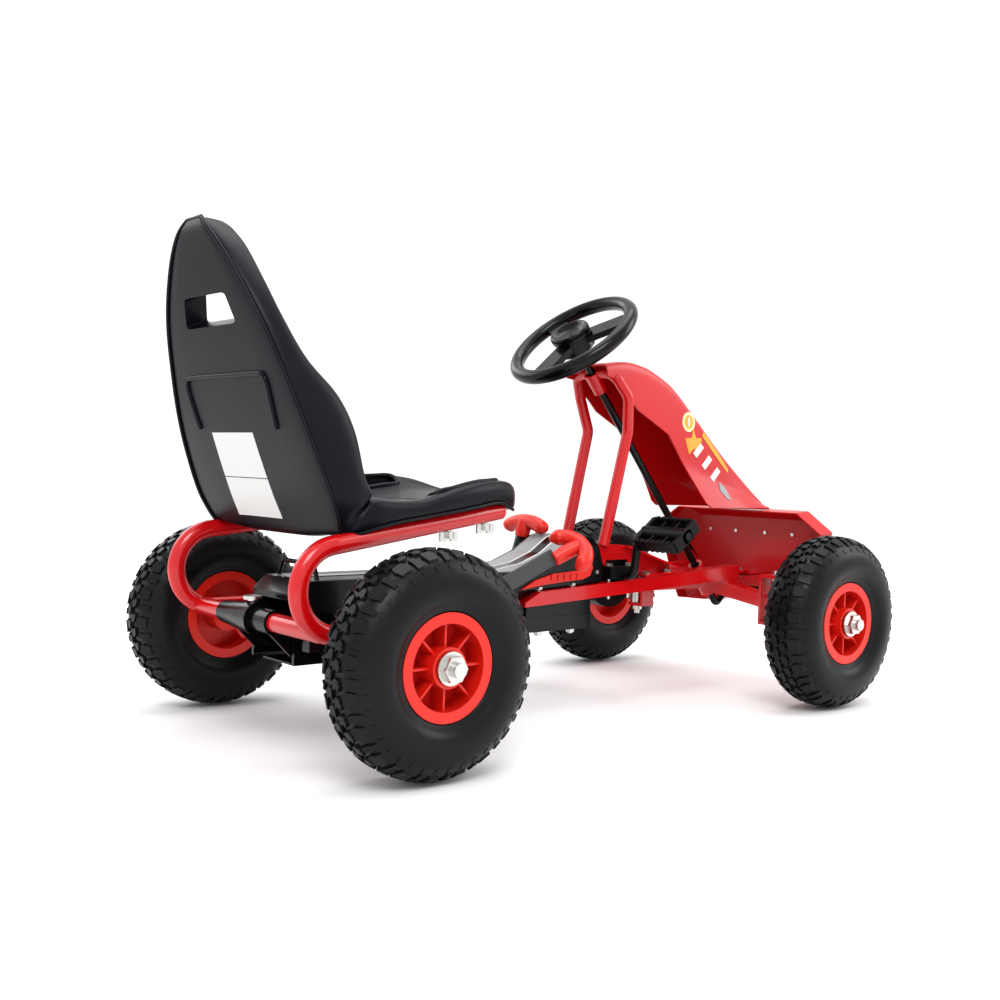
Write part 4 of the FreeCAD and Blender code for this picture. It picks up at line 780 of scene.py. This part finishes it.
def pedal(name, side, lean):
    """Cage with rounded bars, serrated edges and a plain round barrel."""
    verts, faces = [], []

    def add(part):
        base = len(verts)
        verts.extend(part[0])
        faces.extend(tuple(i + base for i in f) for f in part[1])

    inner, outer = 86.0, 166.0
    for x in (-28, 23):
        add(box_mesh(x, x + 5, inner + 3, outer - 3, -8.5, 8.5))
    for y0, y1 in ((inner, inner + 7), (outer - 7, outer)):
        add(box_mesh(-26, 26, y0, y1, -9, 9))
    for y in (inner + 27, outer - 27):
        add(box_mesh(-27, 27, y - 1.6, y + 1.6, -6.5, 6.5))
    for i in range(7):
        y = inner + 9 + 9.4 * i
        for x in (-28, 23):
            add(box_mesh(x, x + 5, y, y + 4.5, -10, 10))
    n = 28
    base = len(verts)
    for y in (inner, outer):
        for i in range(n):
            a = TAU * i / n
            verts.append((11 * math.cos(a), y, 11 * math.sin(a)))
    for i in range(n):
        k = (i + 1) % n
        faces.append((base + i, base + k, base + n + k, base + n + i))
    faces.append(tuple(base + i for i in range(n)))
    faces.append(tuple(base + n + i for i in reversed(range(n))))
    turn = math.radians(8.0)
    cx = 485 - side * 64 * math.sin(turn)
    cz = 183.5 - side * 64 * math.cos(turn)
    t = math.radians(lean)
    placed = []
    for x, y, z in verts:
        xx = x * math.cos(t) + z * math.sin(t)
        zz = -x * math.sin(t) + z * math.cos(t)
        placed.append(mm(cx + xx, side * y, cz + zz))
    obj = make("cage_" + name, placed, faces, MATT, smooth=False)
    fix_normals(obj)
    soften(obj, 0.9, 40.0, 2)
    return put(obj, "pedal_" + name[0], "case_black", "pedal_" + name)


pedal("left", 1, -14.0)
pedal("right", -1, -38.0)


# ----------------------------------------------------------------------- grips


def handle(name, path, radii):
    """Moulded handle swept along a path with changing thickness."""
    rows = smooth_rows([tuple(p) + (r,) for p, r in zip(path, radii)], 8)
    rings = []
    for i, row in enumerate(rows):
        here = Vector(row[:3])
        ahead = Vector(rows[min(i + 1, len(rows) - 1)][:3])
        back = Vector(rows[max(i - 1, 0)][:3])
        axis = (ahead - back).normalized()
        side = axis.cross(Vector((1, 0, 0))).normalized()
        up = axis.cross(side).normalized()
        ring = []
        for k in range(24):
            a = TAU * k / 24
            p = here + (side * math.cos(a) + up * math.sin(a)) * row[3]
            ring.append(mm(*p))
        rings.append(ring)
    obj = lofted(name, rings, ORANGE)
    fix_normals(obj)
    return obj


bar = Vector((0, -0.84, -0.54))
out = Vector((0.80, -0.40, 0.44)).normalized()
foot = Vector((322, -106, 225))
points, thick = [], []
for i in range(-8, 9):
    a = math.radians(11.5 * i)
    points.append(foot + bar * (31 * math.sin(a)) + out * (27 * math.cos(a) - 4))
    thick.append(3.0 if abs(i) == 8 else 8.0 if abs(i) == 7 else 10.5)
grip = handle("grip_right", points, thick)
stem = handle("stem_right", [Vector((307, -99.8, 215.6)), foot, foot + out * 20],
              [9.5, 10.5, 10.0])
grip = join([grip, stem], "grip_right")
put(grip, "brake_handle", "red_plastic", "brake_grip")
points, thick = [], []
for i in range(-8, 9):
    a = math.radians(9.5 * i)
    points.append(Vector((395 + 3 * math.cos(a), 61 + 43 * math.sin(a), 238 + 18 * math.cos(a))))
    thick.append(3.0 if abs(i) == 8 else 8.0 if abs(i) == 7 else 10.5)
grip = handle("grip_left", points, thick)
stem = handle("stem_left", [Vector((392, 62.9, 234)), Vector((393, 62, 244)),
                            Vector((396, 61, 256))], [10.0, 11.0, 10.5])
grip = join([grip, stem], "grip_left")
put(grip, "gear_handle", "red_plastic", "gear_grip")


# ----------------------------------------------------------- steering wheel hub


def hub_cap():
    """Oval dish with a rounded rim over the steering wheel's hub."""
    tilt = math.radians(40.3)
    across = Vector((math.cos(tilt), 0, math.sin(tilt)))
    normal = Vector((-math.sin(tilt), 0, math.cos(tilt)))
    profile = [(0.5, 8.5), (10, 8.7), (17, 9.6), (21, 11.5), (24.5, 14.6), (27, 16.2), (29.4, 16.0),
               (31, 14.2), (31.6, 11), (31.4, 6.4), (29, 5.6), (10, 5.6), (0.5, 5.6)]
    rings = []
    for i in range(56):
        a = TAU * i / 56
        ring = []
        for r, n in smooth_rows(profile, 2):
            p = across * (r * 0.88 * math.cos(a)) + Vector((0, 1, 0)) * (r * math.sin(a))
            ring.append(mm(423, 0, 520) + (p + normal * n) / 1000)
        rings.append(ring)
    rings.append(rings[0])
    obj = lofted("hub_cap", rings, WHEEL, caps=False)
    bm = bmesh.new()
    bm.from_mesh(obj.data)
    bmesh.ops.remove_doubles(bm, verts=bm.verts, dist=0.0002)
    bmesh.ops.holes_fill(bm, edges=bm.edges[:], sides=80)
    bm.to_mesh(obj.data)
    bm.free()
    fix_normals(obj)
    put(obj, "steering", "bush_black", "steering_wheel_cap")


hub_cap()


# ------------------------------------------------------- floor, light and camera


def floor():
    """Pale flat floor."""
    data_rows = []
    for i in range(41):
        t = i / 40
        data_rows.append((-6 + 12 * t, 0.0))
    verts = [(x, y, 0.0) for x in (-9, 9) for y in (-9, 9)]
    obj = make("floor", verts, [(0, 2, 3, 1)], shade("floor_paper", (0.86, 0.86, 0.86), 0.75,
               grain=(60, 0.02), mottle=0.015), smooth=False)
    obj.location.z = -0.0003


floor()


def area(name, place, aim, size, power):
    """Soft rectangular light."""
    data = bpy.data.lights.new(name, "AREA")
    data.shape = "RECTANGLE"
    data.size, data.size_y = size
    data.energy = power
    obj = bpy.data.objects.new(name, data)
    bpy.context.scene.collection.objects.link(obj)
    obj.location = place
    obj.rotation_euler = (Vector(aim) - Vector(place)).to_track_quat("-Z", "Y").to_euler()


area("key", (-1.6, -1.9, 2.6), (0, 0, 0.2), (1.6, 1.2), 40)
area("top", (0.2, 0.3, 3.0), (0, 0, 0.2), (2.4, 2.0), 34)
area("left", (1.9, -1.2, 1.5), (0.2, 0, 0.2), (1.0, 1.6), 16)
area("back", (-0.6, 2.6, 1.8), (0, 0, 0.3), (2.4, 1.2), 16)

world = bpy.data.worlds.new("studio")
world.use_nodes = True
world.node_tree.nodes["Background"].inputs["Color"].default_value = (1.0, 1.0, 1.0, 1.0)
world.node_tree.nodes["Background"].inputs["Strength"].default_value = 0.95
bpy.context.scene.world = world

cam_data = bpy.data.cameras.new("camera")
cam = bpy.data.objects.new("camera", cam_data)
bpy.context.scene.collection.objects.link(cam)
cam_data.sensor_width = 36.0
cam_data.lens = 43.22
yaw, pitch, roll = (math.radians(a) for a in (49.7665, -1.7393, 1.734))
look = Vector((math.cos(yaw) * math.cos(pitch), math.sin(yaw) * math.cos(pitch),
               math.sin(pitch)))
right = Vector((math.sin(yaw), -math.cos(yaw), 0))
up = right.cross(look)
right_r = right * math.cos(roll) + up * math.sin(roll)
up_r = up * math.cos(roll) - right * math.sin(roll)
turn = Matrix((right_r, up_r, -look)).transposed().to_4x4()
cam.matrix_world = Matrix.Translation(Vector((REAR - 0.7665, -1.2544, 0.3394))) @ turn
bpy.context.scene.camera = cam
bpy.context.scene.view_settings.view_transform = "Standard"
bpy.context.scene.view_settings.look = "Medium High Contrast"
